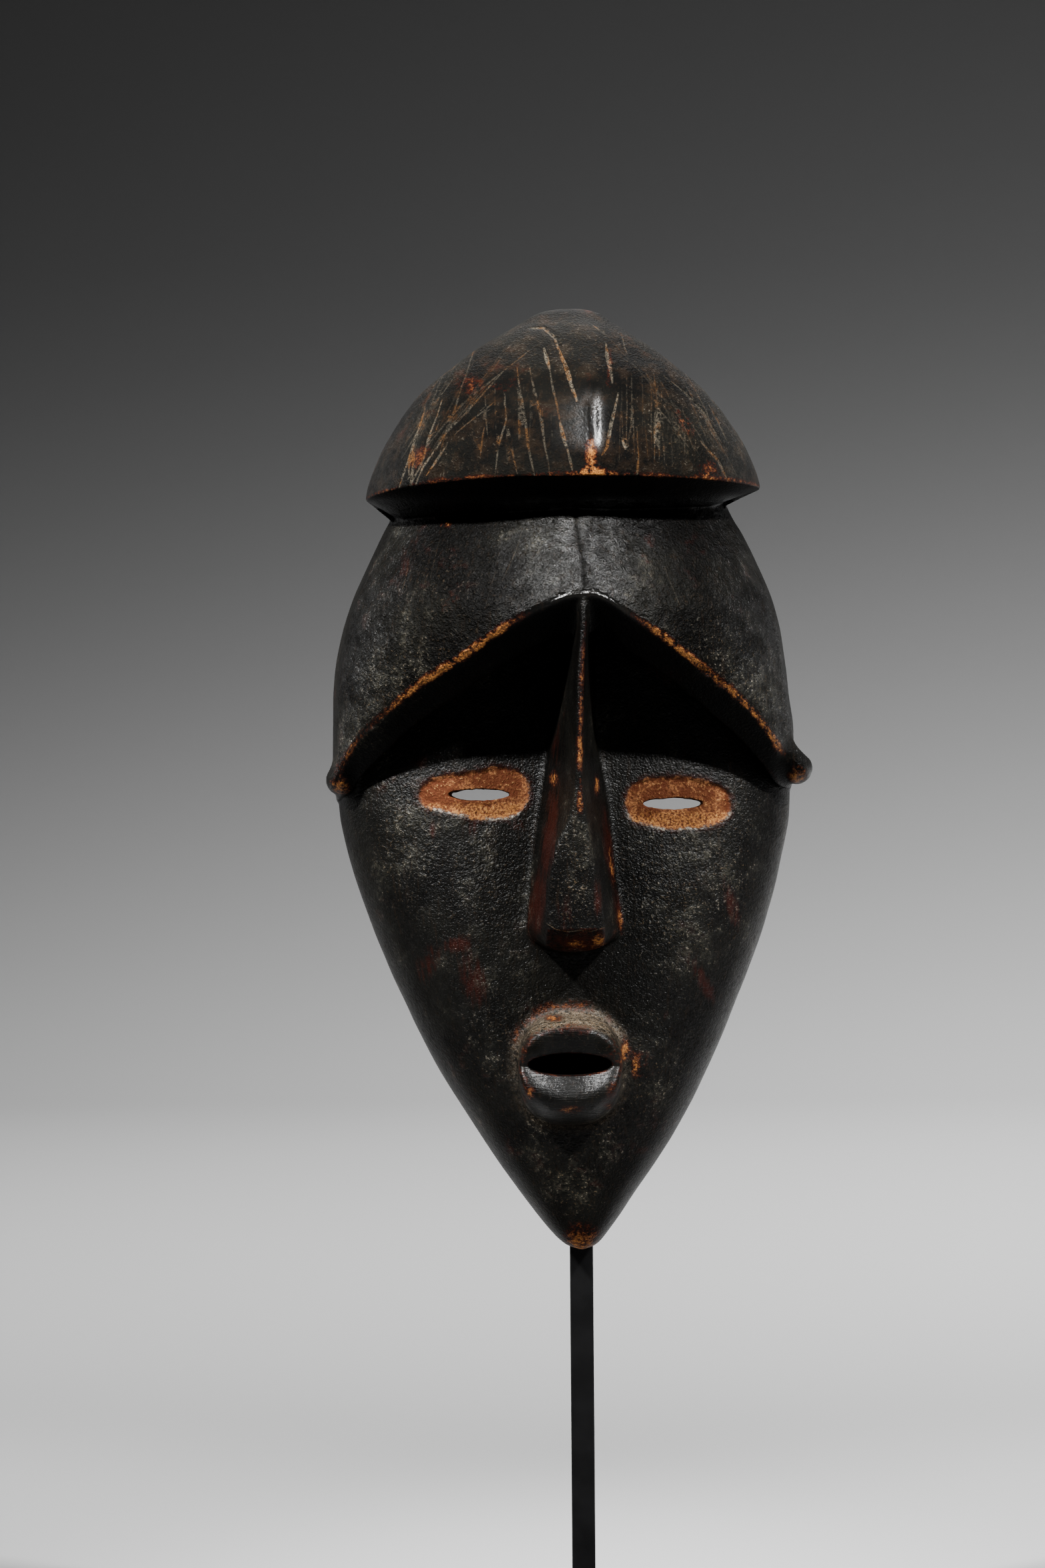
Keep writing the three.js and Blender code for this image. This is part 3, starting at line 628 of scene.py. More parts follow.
def gouge_marks(points):
    """Shallow scoops of the gouge inside the mask: each point belongs to its nearest scoop."""
    place = points / np.array(SCOOP_SIZE)
    corner = np.floor(place).astype(int)
    nearest = np.full(len(points), 9.0)
    draw = np.random.default_rng(5).uniform(0, 1, (NOISE_CELLS,) * 3 + (3,))
    for i in (-1, 0, 1):
        for j in (-1, 0, 1):
            for k in (-1, 0, 1):
                cell = corner + (i, j, k)
                at = cell % NOISE_CELLS
                centre = cell + draw[at[:, 0], at[:, 1], at[:, 2]]
                nearest = np.minimum(nearest, ((place - centre) ** 2).sum(1))
    return np.minimum(nearest, 1.2)


def crease_share(x, d, z):
    """The fine valley down the middle of the forehead."""
    run = ease(219, 223, z) * (1 - ease(251, 256, z)) * ease(40, 55, d)
    return bell(x, visor_middle(z), 0.9) * run


def keel_groove(x, d, z):
    """A fine groove down the keel of the cap."""
    run = ease(274, 280, z) * (1 - ease(290, 296, z)) * ease(40, 60, d)
    return bell(x, 6, 0.8) * run


def apex_share(x, d, z):
    """The brow's edge beside its apex, where it is rubbed bright."""
    above = z - brow_edge(x)
    return np.exp(-(((above - 0.9) / 1.1) ** 2) - ((x - 2) / 20) ** 2) * ease(45, 60, d)


def outer_marks(points):
    """How much deeper than the plain form each point of the outer faces lies."""
    x, d, z = points.T
    marks = 0.28 * waves(points, 21) + 0.12 * waves(points + 50, 8)
    marks += CUT_DEPTH * cut_depth(points)
    marks += 0.9 * crease_share(x, d, z)
    beside_crease = bell(x, visor_middle(z), 6) * ease(214, 224, z) * (1 - ease(252, 258, z))
    marks += 0.25 * beside_crease * ease(40, 55, d)
    marks += 0.35 * keel_groove(x, d, z)
    marks -= 0.6 * apex_share(x, d, z)
    for eye in EYES:
        patch = 1 - ease(-1.3, 0.6, eye_patch(x, z, eye) + 0.4 * chips(points, 2.3))
        marks += ease(25, 32, d) * patch * (EYE_SINK + 0.14 * chips(points, 1.2))
    edge = np.abs(z - brow_edge(x)) * ease(20, 35, d) + 40 * (1 - ease(20, 35, d))
    marks += 0.5 * bell(edge, 0, 2.5) * ease(0.25, 0.75, chips(points, 4.3))
    return marks


def mask_skin(points):
    ragged = 0.22 * chips(points, (1.3, 9, 1.3)) - 0.1
    return mask_form(*points.T, outer_marks(points), SCOOP_DEPTH * gouge_marks(points), ragged)


# Meshing of the field

CARVING_GRID = 2.1
MOUTH_ROWS = (58, 72)
EYE_ROWS = (147, 162)
PLAIN_EDGE = 3.4
PATCH_EDGE = 1.5
PATCH_BORDER_EDGE = 1.0
FINE_EDGE = 1.1
CUT_EDGE = 0.7
KEEL_CREST = 5.4
PROBE = 0.25


def surface_net(values):
    """The skin where the field changes sign: one point in each crossed cell, joined in quads."""
    inside = values < 0
    cells = tuple(n - 1 for n in values.shape)
    total = np.zeros(cells + (3,))
    hits = np.zeros(cells)
    for axis in range(3):
        for u in (0, 1):
            for v in (0, 1):
                offset = np.zeros(3, int)
                offset[(axis + 1) % 3], offset[(axis + 2) % 3] = u, v
                first = tuple(slice(o, o + n) for o, n in zip(offset, cells))
                offset[axis] = 1
                second = tuple(slice(o, o + n) for o, n in zip(offset, cells))
                crossed = inside[first] != inside[second]
                a, b = values[first], values[second]
                t = np.where(crossed, a / np.where(crossed, a - b, 1), 0)
                offset[axis] = 0
                for k in range(3):
                    total[..., k] += np.where(crossed, t if k == axis else offset[k], 0)
                hits += crossed
    active = hits > 0
    places = np.argwhere(active)
    points = places + total[active] / hits[active][:, None]
    number = np.full(cells, -1)
    number[active] = np.arange(len(points))
    quads = []
    for axis in range(3):
        b, c = (axis + 1) % 3, (axis + 2) % 3
        order = (axis, b, c)
        signs = np.transpose(inside, order)
        ids = np.transpose(number, order)
        crossed = signs[:-1, 1:-1, 1:-1] != signs[1:, 1:-1, 1:-1]
        i, j, k = np.nonzero(crossed)
        loop = np.stack([ids[i, j, k], ids[i, j + 1, k], ids[i, j + 1, k + 1], ids[i, j, k + 1]], 1)
        backwards = signs[1:, 1:-1, 1:-1][crossed]
        loop[backwards] = loop[backwards][:, ::-1]
        quads.append(loop)
    quads = np.concatenate(quads)
    return points, np.concatenate([quads[:, [0, 1, 2]], quads[:, [0, 2, 3]]])


def skin_normals(points, triangles):
    a, b, c = (points[triangles[:, k]] for k in range(3))
    face = np.cross(b - a, c - a)
    normals = np.zeros_like(points)
    for k in range(3):
        for axis in range(3):
            normals[:, axis] += np.bincount(triangles[:, k], face[:, axis], len(points))
    return normals / np.maximum(np.linalg.norm(normals, axis=1), 1e-12)[:, None]


def settle(points, triangles, field, rounds):
    """Moves the points along their normals on to the field's surface."""
    for _ in range(rounds):
        normals = skin_normals(points, triangles)
        here = field(points)
        slope = (field(points + PROBE * normals) - here) / PROBE
        slope = np.where(slope < 0, -1, 1) * np.clip(np.abs(slope), 0.5, 3)
        points = points - np.clip(here / slope, -0.8, 0.8)[:, None] * normals
    return points


def relax(points, triangles, share):
    """Evens out the triangles by moving points along the surface."""
    total = np.zeros_like(points)
    count = np.zeros(len(points))
    for k in range(3):
        start, end = triangles[:, k], triangles[:, (k + 1) % 3]
        count += np.bincount(start, minlength=len(points))
        for axis in range(3):
            total[:, axis] += np.bincount(start, points[end, axis], len(points))
    move = total / count[:, None] - points
    normals = skin_normals(points, triangles)
    move -= (move * normals).sum(1)[:, None] * normals
    return points + share * move


def split_edges(points, triangles, choose):
    """Cuts each chosen edge in half, and each triangle beside it to match."""
    start, end = triangles, np.roll(triangles, -1, axis=1)
    key = np.minimum(start, end).astype(np.int64) * len(points) + np.maximum(start, end)
    edges, back = np.unique(key.ravel(), return_inverse=True)
    first, second = edges // len(points), edges % len(points)
    chosen = choose(first, second)
    middle = np.full(len(edges), -1)
    middle[chosen] = len(points) + np.arange(chosen.sum())
    points = np.concatenate([points, (points[first[chosen]] + points[second[chosen]]) / 2])
    middle = middle[back].reshape(triangles.shape)
    count = (middle >= 0).sum(1)
    turn = np.where(count == 1, np.argmax(middle >= 0, 1), (np.argmin(middle >= 0, 1) + 1) % 3)
    order = (turn[:, None] + np.arange(3)) % 3
    corners = np.take_along_axis(triangles, order, 1)
    middle = np.take_along_axis(middle, order, 1)
    made = [triangles[count == 0]]
    a, b, c = corners[count == 1].T
    m = middle[count == 1, 0]
    made += [np.stack([a, m, c], 1), np.stack([m, b, c], 1)]
    a, b, c = corners[count == 2].T
    m, n = middle[count == 2, 0], middle[count == 2, 1]
    made.append(np.stack([m, b, n], 1))
    short = np.linalg.norm(points[a] - points[n], axis=1) < np.linalg.norm(points[m] - points[c], axis=1)
    made += [
        np.where(short[:, None], np.stack([a, m, n], 1), np.stack([a, m, c], 1)),
        np.where(short[:, None], np.stack([a, n, c], 1), np.stack([m, n, c], 1)),
    ]
    a, b, c = corners[count == 3].T
    m, n, o = middle[count == 3].T
    made += [
        np.stack([a, m, o], 1), np.stack([m, b, n], 1), np.stack([o, n, c], 1), np.stack([m, n, o], 1)
    ]
    return points, np.concatenate(made)


def fine_edge(points):
    """The edge length wanted at each point, short where small marks lie."""
    x, d, z = points.T
    wanted = np.full(len(points), PLAIN_EDGE)
    wanted = np.where(cut_depth(points) > 0, CUT_EDGE, wanted)
    front = d > 30
    for eye in EYES:
        away = eye_patch(x, z, eye)
        wanted = np.where(front & (np.abs(away) < 1.6), PATCH_BORDER_EDGE, wanted)
        wanted = np.where(front & (away < 1), np.minimum(wanted, PATCH_EDGE), wanted)
    keel = (np.abs(x - KEEL_CREST) < 4) & (z > 266) & (z < 294) & (d > 60)
    ridge = (np.abs(x - nose_ridge(z) - 0.7) < 3) & (z > 148) & (z < 219) & (d > 66)
    lips = (np.abs(x - MOUTH_X) < 19) & (np.abs(z - MOUTH_Z) < 20) & (d > 54)
    fine = (crease_share(x, d, z) > 0.05) | (apex_share(x, d, z) > 0.1) | keel | ridge | lips
    return np.where(fine, np.minimum(wanted, FINE_EDGE), wanted)


def refine(points, triangles, shortest, bend_degrees):
    """Splits the edges that bend more than the limit, and those that are too long for their place."""
    normals = skin_normals(points, triangles)
    limit = math.cos(math.radians(bend_degrees))

    def choose(first, second):
        long = np.linalg.norm(points[first] - points[second], axis=1)
        bent = (normals[first] * normals[second]).sum(1) < limit
        middle = (points[first] + points[second]) / 2
        return (bent & (long > shortest)) | (long > fine_edge(middle) * 1.35)

    return split_edges(points, triangles, choose)


def carve_skin(step):
    """Meshes the mask: a plain skin first, then finer where it bends, with all its marks."""
    x = np.arange(-90, 84, step)
    d = np.arange(-3, 88, step)
    z = np.concatenate([
        np.arange(-3, MOUTH_ROWS[0], step), np.arange(*MOUTH_ROWS, step / 2),
        np.arange(MOUTH_ROWS[1], EYE_ROWS[0], step), np.arange(*EYE_ROWS, step / 2),
        np.arange(EYE_ROWS[1], 326, step),
    ])
    values = mask_form(x[:, None, None], d[None, :, None], z[None, None, :])
    places, triangles = surface_net(values)
    columns = [np.interp(places[:, k], np.arange(len(level)), level) for k, level in enumerate((x, d, z))]
    points = np.stack(columns, 1)
    plain = lambda at: mask_form(*at.T)
    points = settle(points, triangles, plain, 2)
    points = relax(points, triangles, 0.5)
    points = settle(points, triangles, plain, 1)
    for shortest, bend in ((1.3, 14), (0.9, 16), (0.6, 20)):
        points, triangles = refine(points, triangles, shortest, bend)
        points = settle(points, triangles, mask_skin, 2)
        points = relax(points, triangles, 0.35)
    points = settle(points, triangles, mask_skin, 2)
    return points, triangles


# Turning the skin into a piece of the scene


def to_frame(points):
    """Carving millimetres to metres in the shared frame, kept inside the solid mask's box."""
    x, d, z = points.T
    place = np.stack([x, BACK_RIM_Y - d, CHIN_HEIGHT + z], 1) * MM
    return np.clip(place, np.array(mask_low), np.array(mask_high))


def new_piece(name, mesh, material):
    mesh.polygons.foreach_set("use_smooth", np.ones(len(mesh.polygons), bool))
    mesh.materials.append(material)
    piece = bpy.data.objects.new(name, mesh)
    bpy.context.scene.collection.objects.link(piece)
    return piece


def keep_attribute(mesh, name, values):
    """Stores a number for each point, or four, which the finish reads as a colour and its alpha."""
    kind, field = ("FLOAT", "value") if values.ndim == 1 else ("FLOAT_COLOR", "color")
    attribute = mesh.attributes.new(name, kind, "POINT")
    attribute.data.foreach_set(field, values.astype(np.float32).ravel())


# Stains on the face in the front view: place, half width, half height, lean and strength
RED_STAINS = (
    (-10.2, 143, 2.6, 17, 0.12, 1), (-14.6, 120, 3, 13, 0.1, 1), (-5, 116, 4, 9, 0, 0.5),
    (9.4, 140, 2.2, 16, -0.14, 0.8), (13, 117, 2.2, 9, -0.1, 0.7), (5.5, 122, 2, 10, 0, 0.6),
    (-50, 145, 1.4, 5, 0, 0.8), (-36.1, 146, 2, 4, 0, 0.9), (-41, 106, 7, 3, 0.2, 0.8),
    (-36.5, 94, 5, 10, -0.1, 0.9), (-52, 99, 5, 9, 0.3, 0.6), (52, 118, 3, 15, -0.3, 0.7),
    (42, 92, 3, 13, -0.5, 0.7), (29, 81, 1.2, 3, 0, 0.6), (-9.3, 13, 3, 4, 0.2, 1),
    (4, 8, 5, 5, 0, 0.8), (-2, 107, 9, 4, 0, 0.9), (-58, 236, 4, 12, 0.4, 0.5),
    (30, 197, 9, 4, -0.6, 0.6), (-8, 172, 2, 14, 0.1, 0.5),
)
# Spots rubbed through to the wood, in the same measures
RUBBED_SPOTS = (
    (-35.5, 294.5, 5.5, 4.6, -0.3, 0.36), (-24, 294, 5, 2, 0.7, 0.4), (36.4, 281, 2.6, 5, -0.5, 0.5),
    (44.5, 265.5, 4, 3, 0, 0.5), (11, 299, 1.2, 8, 0.05, 0.45), (-53, 270, 3, 7, 0.5, 0.36),
    (14.9, 69.7, 1.4, 3.6, 0, 0.95), (18.3, 64, 1.3, 3.4, 0, 0.8), (-18.3, 54.8, 1.8, 2.6, 0.4, 0.55),
    (-3.7, 50.4, 4, 1.3, 0, 0.5), (9, 51.4, 2, 1.4, 0, 0.45), (-1.8, 106.6, 3.5, 1.6, 0, 0.6),
    (5.7, 107.4, 2, 1.6, 0, 0.66), (-8.6, 162, 1.5, 2.7, 0.1, 0.75), (5.9, 159.6, 0.9, 3.2, 0, 0.85),
    (0, 171, 1.3, 5, 0, 0.6), (0, 153, 1.1, 4, 0, 0.6), (10.6, 133, 0.8, 9, -0.14, 0.6),
    (1.5, 5, 2.6, 3.6, 0, 0.8), (13.6, 114, 1.1, 5, -0.1, 0.6),
    (-44.9, 248.3, 2.6, 0.9, 0, 0.9), (-9, 81, 3, 1, 0.2, 0.6),
)


def spots(x, z, places):
    """The strongest of some soft oval spots at each point."""
    best = np.zeros(x.shape)
    for middle_x, middle_z, across, up, lean, strength in places:
        run = x - middle_x - lean * (z - middle_z)
        best = np.maximum(best, strength * np.exp(-((run / across) ** 2) - ((z - middle_z) / up) ** 2))
    return best


# How far the brow's edge is rubbed bare from left to right, and the nose ridge from the sole up
brow_wear = Curve(
    (-80, 0.35), (-70, 0.45), (-58, 0.64), (-40, 0.8), (-28, 0.7), (-18, 0.3), (-12, 0), (12, 0),
    (20, 0.4), (30, 0.75), (40, 0.8), (52, 0.95), (64, 0.75), (74, 0.45),
)
ridge_wear = Curve(
    (150, 0), (158, 0.2), (172, 0.12), (181, 0.26), (190, 0.32), (200, 0.22), (212, 0.18), (217, 0),
)
# Where tan and white grit sits in the patina and tan specks are painted on as glints; the two fields beside
# the shadow under the mouth lighten the chin there as painted light
GRIT_AND_GLINT_FIELDS = (
    (-56, 194, 20, 17, 0.4, 0.8), (-70, 176, 10, 14, 0, 0.6), (-48, 226, 22, 14, 0, 0.25),
    (52, 196, 16, 20, -0.4, 0.7), (-60, 140, 16, 22, 0.3, 0.5), (-32, 128, 14, 22, 0, 0.45),
    (30, 122, 16, 26, 0, 0.8), (52, 128, 12, 26, 0, 0.6), (-26, 74, 14, 20, 0, 0.4),
    (22, 62, 16, 22, 0, 0.5), (-3, 20, 12, 12, 0, 0.8), (-16, 41, 5, 10, 0.3, 0.8),
    (9, 41, 5, 10, -0.3, 0.7), (-2, 128, 5.5, 18, 0, 0.95),
    (36, 280, 20, 18, 0, 0.35), (-40, 272, 20, 12, 0, 0.15), (0, 305, 24, 10, 0, 0.2),
)


BEND_REACH = 2.2


def outward_bend(points):
    """How far the wood bends away round each point: above 0 on edges, below 0 in corners."""
    around = 0
    for axis in range(3):
        step = np.zeros(3)
        step[axis] = BEND_REACH
        around = around + mask_form(*(points + step).T) + mask_form(*(points - step).T)
    return around / 6


def tip_share(x, d, z):
    """The knobs at the ends of the brow, most of all in front."""
    share = 0
    for tip in BROW_TIPS:
        tip_x, tip_d, tip_z = tip["end"]
        away = np.sqrt((x - tip_x) ** 2 + ((d - tip_d - 9) / 2.2) ** 2 + (z - tip_z + 3) ** 2)
        share = share + (1 - ease(1.5, 5.5, away))
    return share


def rubbed_bare(points, front, tips):
    """How far the brow's edge, the nose ridge, the keel, the chin and single spots are worn."""
    x, d, z = points.T
    edge = (z - brow_edge(x)) / 1.3
    arris = bell(edge, 0.85, 1.3) * ease(30, 45, d)
    ridge = bell(x - nose_ridge(z), 0.7, 0.9) * ridge_wear(z) * ease(66, 72, d)
    ridge *= 0.7 + 0.6 * ease(-0.4, 0.3, chips(points, (9, 9, 6)))
    chin = (1 - ease(2, 15, z)) * ease(6, 12, d) * bell(x, 0, 7)
    keel_foot = bell(x, 5, 5) * (1 - ease(264, 266.5, z)) * ease(261.5, 263, z)
    keel_streak = bell(x, 4.4, 1.8) * (1 - ease(271, 278, z)) * ease(262, 264, z)
    low_rim = bell(z - around_cap(*cap_place(x, d)[1:], CAP_RIM), 0.6, 1.1) * front
    worn = arris * brow_wear(x) + ridge + 0.64 * chin + 0.8 * (keel_foot + keel_streak) * ease(66, 72, d)
    worn += 0.1 * low_rim + 0.6 * tips + spots(x, z, RUBBED_SPOTS) * front
    on_nose = ease(60, 66, d) * (np.abs(x) < 25) * (z > 112) * (z < 221)
    plain_edge = (1 - np.minimum(1, 2 * apex_share(x, d, z))) * (1 - 0.7 * on_nose)
    return worn + 0.25 * ease(0.12, 0.4, outward_bend(points)) * front * plain_edge


def mouth_facts(points, normals):
    """The lips, the cove over them, the dust in and round it, and how far its edge is worn."""
    x, d, z = points.T
    below_nose = z < 100
    away = oval(x, z, MOUTH_X, MOUTH_Z, 18, 19.5, 2.4)
    lips = ease(50, 54, d) * (1 - ease(-1, 1.5, away)) * below_nose
    shelf = ease(0.5, 0.8, normals[:, 2])
    cove = shelf * (1 - ease(0.5, 3, away)) * ease(LIP_Z + 5, LIP_Z + 9, z) * below_nose
    around_mouth = ease(34, 38, d) * below_nose
    ring = bell(away, 0.8, 1.8) * around_mouth * (0.25 + 0.55 * ease(58, 74, z))
    patchy = 0.2 + ease(-0.3, 0.5, chips(points, 7))
    worn = 0.34 * patchy * bell(away, 2, 2.4) * around_mouth * ease(60, 80, z)
    return lips, cove, np.maximum(cove, ring), worn


def rubbed_bright(points, normals, lips, tips):
    """The brightest places: the brow's apex, the flanks of the keel, the knobs and the upper lip."""
    x, d, z = points.T
    shine = np.minimum(1, 1.6 * apex_share(x, d, z - 0.5))
    keel_flanks = bell(np.abs(x - KEEL_CREST), 1.6, 1.3) + 0.4 * bell(x, 2, 8)
    shine += keel_flanks * ease(269, 276, z) * (1 - ease(284, 294, z)) * ease(60, 68, d)
    lip_top = bell(normals[:, 2], 0.38, 0.28) * lips * ease(LIP_Z + 4, LIP_Z + 7, z)
    lip_top = lip_top * bell(x - MOUTH_X, 1, 9)
    return np.clip(shine + 0.3 * tips + lip_top, 0, 1)


def polish_share(points, normals, lips, brow, cap):
    """How polished the faces are: most in the middle of the forehead, on the sides and the lips."""
    x, d, z = points.T
    polish = 0.5 * ease(-0.5, -0.1, normals[:, 2]) * (1 - brow) * (1 - cap)
    polish = polish + 0.9 * brow * bell(x, 1, 19)
    sides = ease(0.5, 0.9, np.abs(normals[:, 0]))
    polish = np.maximum(polish, 0.7 * sides)
    on_boss = ease(50, 54, d) * (np.abs(z - MOUTH_Z) < 22) * (np.abs(x - MOUTH_X) < 20)
    lip_polish = 0.42 + 0.28 * ease(0.1, 0.35, normals[:, 2])
    rim_ends = ease(7.5, 12, np.abs(x - MOUTH_X)) * ease(LIP_Z + 3, LIP_Z + 6, z)
    lip_polish = lip_polish * (1 - 0.8 * rim_ends)
    return polish * (1 - on_boss) + lips * lip_polish * (1 - 0.7 * ease(0.28, 0.6, np.abs(normals[:, 0])))


def wood_facts(points, triangles):
    """What the finish needs to know at each point of the mask."""
    x, d, z = points.T
    normals = skin_normals(points, triangles)
    inside = 1 - ease(0.6, 1.8, np.abs(hollow_form(x, d, z)))
    front = ease(26, 34, d) * (1 - inside)
    cap = (1 - inside) * (cap_form(x, d, z) < 1.2) * ease(256, 259, z)
    brow = ease(0, 3, z - brow_edge(x)) * (1 - ease(254, 257, z)) * front
    tips = tip_share(x, d, z)
    lips, cove, dust, mouth_wear = mouth_facts(points, normals)
    worn = rubbed_bare(points, front, tips) + mouth_wear
    shine = rubbed_bright(points, normals, lips, tips)
    lips = lips * (1 - cove)
    polish = np.maximum(polish_share(points, normals, lips, brow, cap), shine)
    # Painted shade: faces that look down, under the brow and the cap, are darkened in colour
    underside = ease(-0.3, -0.6, normals[:, 2]) * (1 - inside) * ease(120, 140, z) * (1 - tips)
    patch = np.full(len(points), 5.0)
    for eye in EYES:
        patch = np.minimum(patch, eye_patch(x, z, eye) + 6 * (1 - front))
    # The foot of each eye patch, painted lighter, with the part above painted darker, as light and shade
    foot = sum(ease(-2, -5, z - eye["z"]) * (np.abs(x - eye["x"]) < 21) for eye in EYES)
    facts = {
        "inside": inside, "cap": cap, "brow": brow, "under": underside, "crease": crease_share(x, d, z),
        "worn": np.clip(worn, 0, 1), "dust": np.clip(dust, 0, 1), "lips": lips,
        "shine": shine, "polish": np.clip(polish, 0, 1) * (1 - inside),
        "stain": spots(x, z, RED_STAINS) * front, "gritty": spots(x, z, GRIT_AND_GLINT_FIELDS) * front,
        "patch": patch, "patch_foot": foot,
    }
    for layer in range(LAYERS):
        facts[f"cuts_{layer}"] = cut_lines(points, ALL_CUTS[layer::LAYERS])
    return facts


def carved_mask(material):
    points, triangles = carve_skin(CARVING_GRID)
    mesh = bpy.data.meshes.new("carved_mask")
    mesh.from_pydata(to_frame(points).tolist(), [], triangles[:, ::-1].tolist())
    for name, values in wood_facts(points, triangles).items():
        keep_attribute(mesh, name, values)
    mesh.update()
    piece = new_piece("carved_mask", mesh, material)
    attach(piece, "root")
    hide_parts("mask")


# Materials


class Shade:
    """A number or a colour on its way through a material. Arithmetic on a number adds Math nodes."""

    def __init__(self, paint, socket):
        self.paint, self.socket = paint, socket

    def _math(self, operation, first, second=0):
        return self.paint.node("ShaderNodeMath", {"operation": operation}, {0: first, 1: second})

    def __add__(self, other):
        return self._math("ADD", self, other)

    def __sub__(self, other):
        return self._math("SUBTRACT", self, other)

    def __rsub__(self, other):
        return self._math("SUBTRACT", other, self)

    def __mul__(self, other):
        return self._math("MULTIPLY", self, other)

    def __abs__(self):
        return self._math("ABSOLUTE", self)

    def or_more(self, other):
        return self._math("MAXIMUM", self, other)

    __radd__ = __add__
    __rmul__ = __mul__

    def eased(self, low, high):
        """0 below low and 1 above high, or the other way round where low is the higher."""
        settings = {"interpolation_type": "SMOOTHSTEP"}
        return self.paint.node("ShaderNodeMapRange", settings, {0: self, 1: low, 2: high})


class Paint:
    """One material and its nodes."""

    def __init__(self, name):
        self.material = bpy.data.materials.new(name)
        self.material.use_nodes = True
        self.tree = self.material.node_tree
        self.shader = self.tree.nodes["Principled BSDF"]
        metres = self.node("ShaderNodeTexCoord", output="Object")
        self.place = self.vector("SCALE", metres, Scale=1 / MM)

    def node(self, kind, settings=None, inputs=None, output=0):
        """Adds a node: its settings first, then the values or links of its sockets."""
        made = self.tree.nodes.new(kind)
        for name, value in (settings or {}).items():
            setattr(made, name, value)
        for name, value in (inputs or {}).items():
            self.feed(made.inputs[name], value)
        return Shade(self, made.outputs[output])

    def feed(self, socket, value):
        if isinstance(value, Shade):
            self.tree.links.new(value.socket, socket)
        else:
            socket.default_value = value

    def vector(self, operation, first, second=(0, 0, 0), **inputs):
        return self.node("ShaderNodeVectorMath", {"operation": operation}, {0: first, 1: second, **inputs})

    def stretched(self, across, ahead, up):
        """The place in millimetres, counted in steps of these sizes."""
        return self.vector("MULTIPLY", self.place, (1 / across, 1 / ahead, 1 / up))

    def noise(self, size, detail=2, roughness=0.5, twist=0, place=None):
        inputs = {"Scale": 1 / size, "Detail": detail, "Roughness": roughness, "Distortion": twist}
        inputs["Vector"] = place or self.place
        return self.node("ShaderNodeTexNoise", None, inputs)

    def attribute(self, name, output="Fac"):
        return self.node("ShaderNodeAttribute", {"attribute_name": name}, output=output)

    def parts(self, vector):
        """The three numbers of a vector or a colour."""
        first = self.node("ShaderNodeSeparateXYZ", None, {0: vector})
        outputs = first.socket.node.outputs
        return tuple(Shade(self, output) for output in outputs)

    def mix(self, share, first, second):
        """first where share is 0 and second where it is 1, both colours."""
        first, second = (c if isinstance(c, Shade) else (*c, 1) for c in (first, second))
        settings = {"data_type": "RGBA", "clamp_factor": True}
        return self.node("ShaderNodeMix", settings, {0: share, 6: first, 7: second}, 2)

    def finish(self, shader=None, **sockets):
        for name, value in sockets.items():
            self.feed((shader or self.shader).inputs[name.replace("_", " ")], value)
        return self.material

    def lay_over(self, share, **sockets):
        """A second shader over the first one, as far as the share says."""
        over = self.node("ShaderNodeBsdfPrincipled").socket
        self.finish(over.node, **sockets)
        under = Shade(self, self.shader.outputs[0])
        both = self.node("ShaderNodeMixShader", None, {0: share, 1: under, 2: Shade(self, over)})
        self.feed(self.tree.nodes["Material Output"].inputs["Surface"], both)
        return self.material

    def relief(self, height):
        """A normal bent by a height in millimetres."""
        return self.node("ShaderNodeBump", None, {"Strength": 1, "Distance": MM, "Height": height}, "Normal")


def cut_share(paint, layer, fray):
    """How much the pale cuts of one layer show, with crisp frayed sides."""
    side, away, half = paint.parts(paint.attribute(f"cuts_{layer}", "Color"))
    pale = paint.attribute(f"cuts_{layer}", "Alpha")
    line = (abs(side) - half + fray * 0.5).eased(0.12, -0.16)
    return line * (away - half).eased(0.9, 0.3) * pale


BLACK, SOOT, UMBER = (0.0035, 0.0032, 0.0028), (0.009, 0.0086, 0.007), (0.026, 0.016, 0.009)
OXBLOOD, RUST, AMBER = (0.036, 0.007, 0.004), (0.13, 0.05, 0.021), (0.43, 0.2, 0.066)
TAN, GREY_DUST, PALE_DUST_AND_LIGHT = (0.2, 0.14, 0.08), (0.058, 0.054, 0.04), (0.36, 0.32, 0.26)
# The near-black beside the brown dust is painted shade for faces that look down
BROWN_DUST, PAINTED_SHADE_BLACK = (0.12, 0.08, 0.045), (0.001, 0.001, 0.001)
CUT_BROWN, CUT_PALE, CUT_RED = (0.12, 0.095, 0.065), (0.26, 0.23, 0.18), (0.2, 0.1, 0.04)
BARE_DARK, BARE_LIGHT, BARE_STAIN = (0.045, 0.026, 0.014), (0.105, 0.06, 0.03), (0.018, 0.012, 0.008)
CLAY_RED, CLAY_ORANGE, CLAY_DARK_AND_SHADED = (0.12, 0.045, 0.024), (0.33, 0.155, 0.072), (0.11, 0.036, 0.018)
CLAY_PIT, CLAY_LIT_GOLD, CLAY_GLINT = (0.06, 0.022, 0.012), (0.48, 0.24, 0.08), (0.55, 0.34, 0.16)
WOOD_FACTS = (
    "inside", "worn", "dust", "cap", "polish", "shine", "lips", "stain", "gritty", "patch", "patch_foot",
    "under", "brow", "crease",
)


def wood_noises(paint):
    """The patterns that the patina is made of, from large to small."""
    noise = SimpleNamespace(
        clouds=paint.noise(26, 4, 0.6), patches=paint.noise(7, 4, 0.65), crumbs=paint.noise(1.5, 3, 0.7),
        sand=paint.noise(0.8, 2, 0.6), grit=paint.noise(0.5, 2, 0.7),
        fibres=paint.noise(1, 3, 0.6, place=paint.stretched(1.3, 1.3, 22)),
        brushed=paint.noise(1, 2, 0.6, place=paint.stretched(7, 7, 0.4)),
        wrinkles=paint.noise(1.7, 3, 0.65, 1),
    )
    # Tiny specks that the colour uses as painted glints
    noise.glint = noise.sand.eased(0.56, 0.66) * noise.crumbs.eased(0.46, 0.6)
    return noise


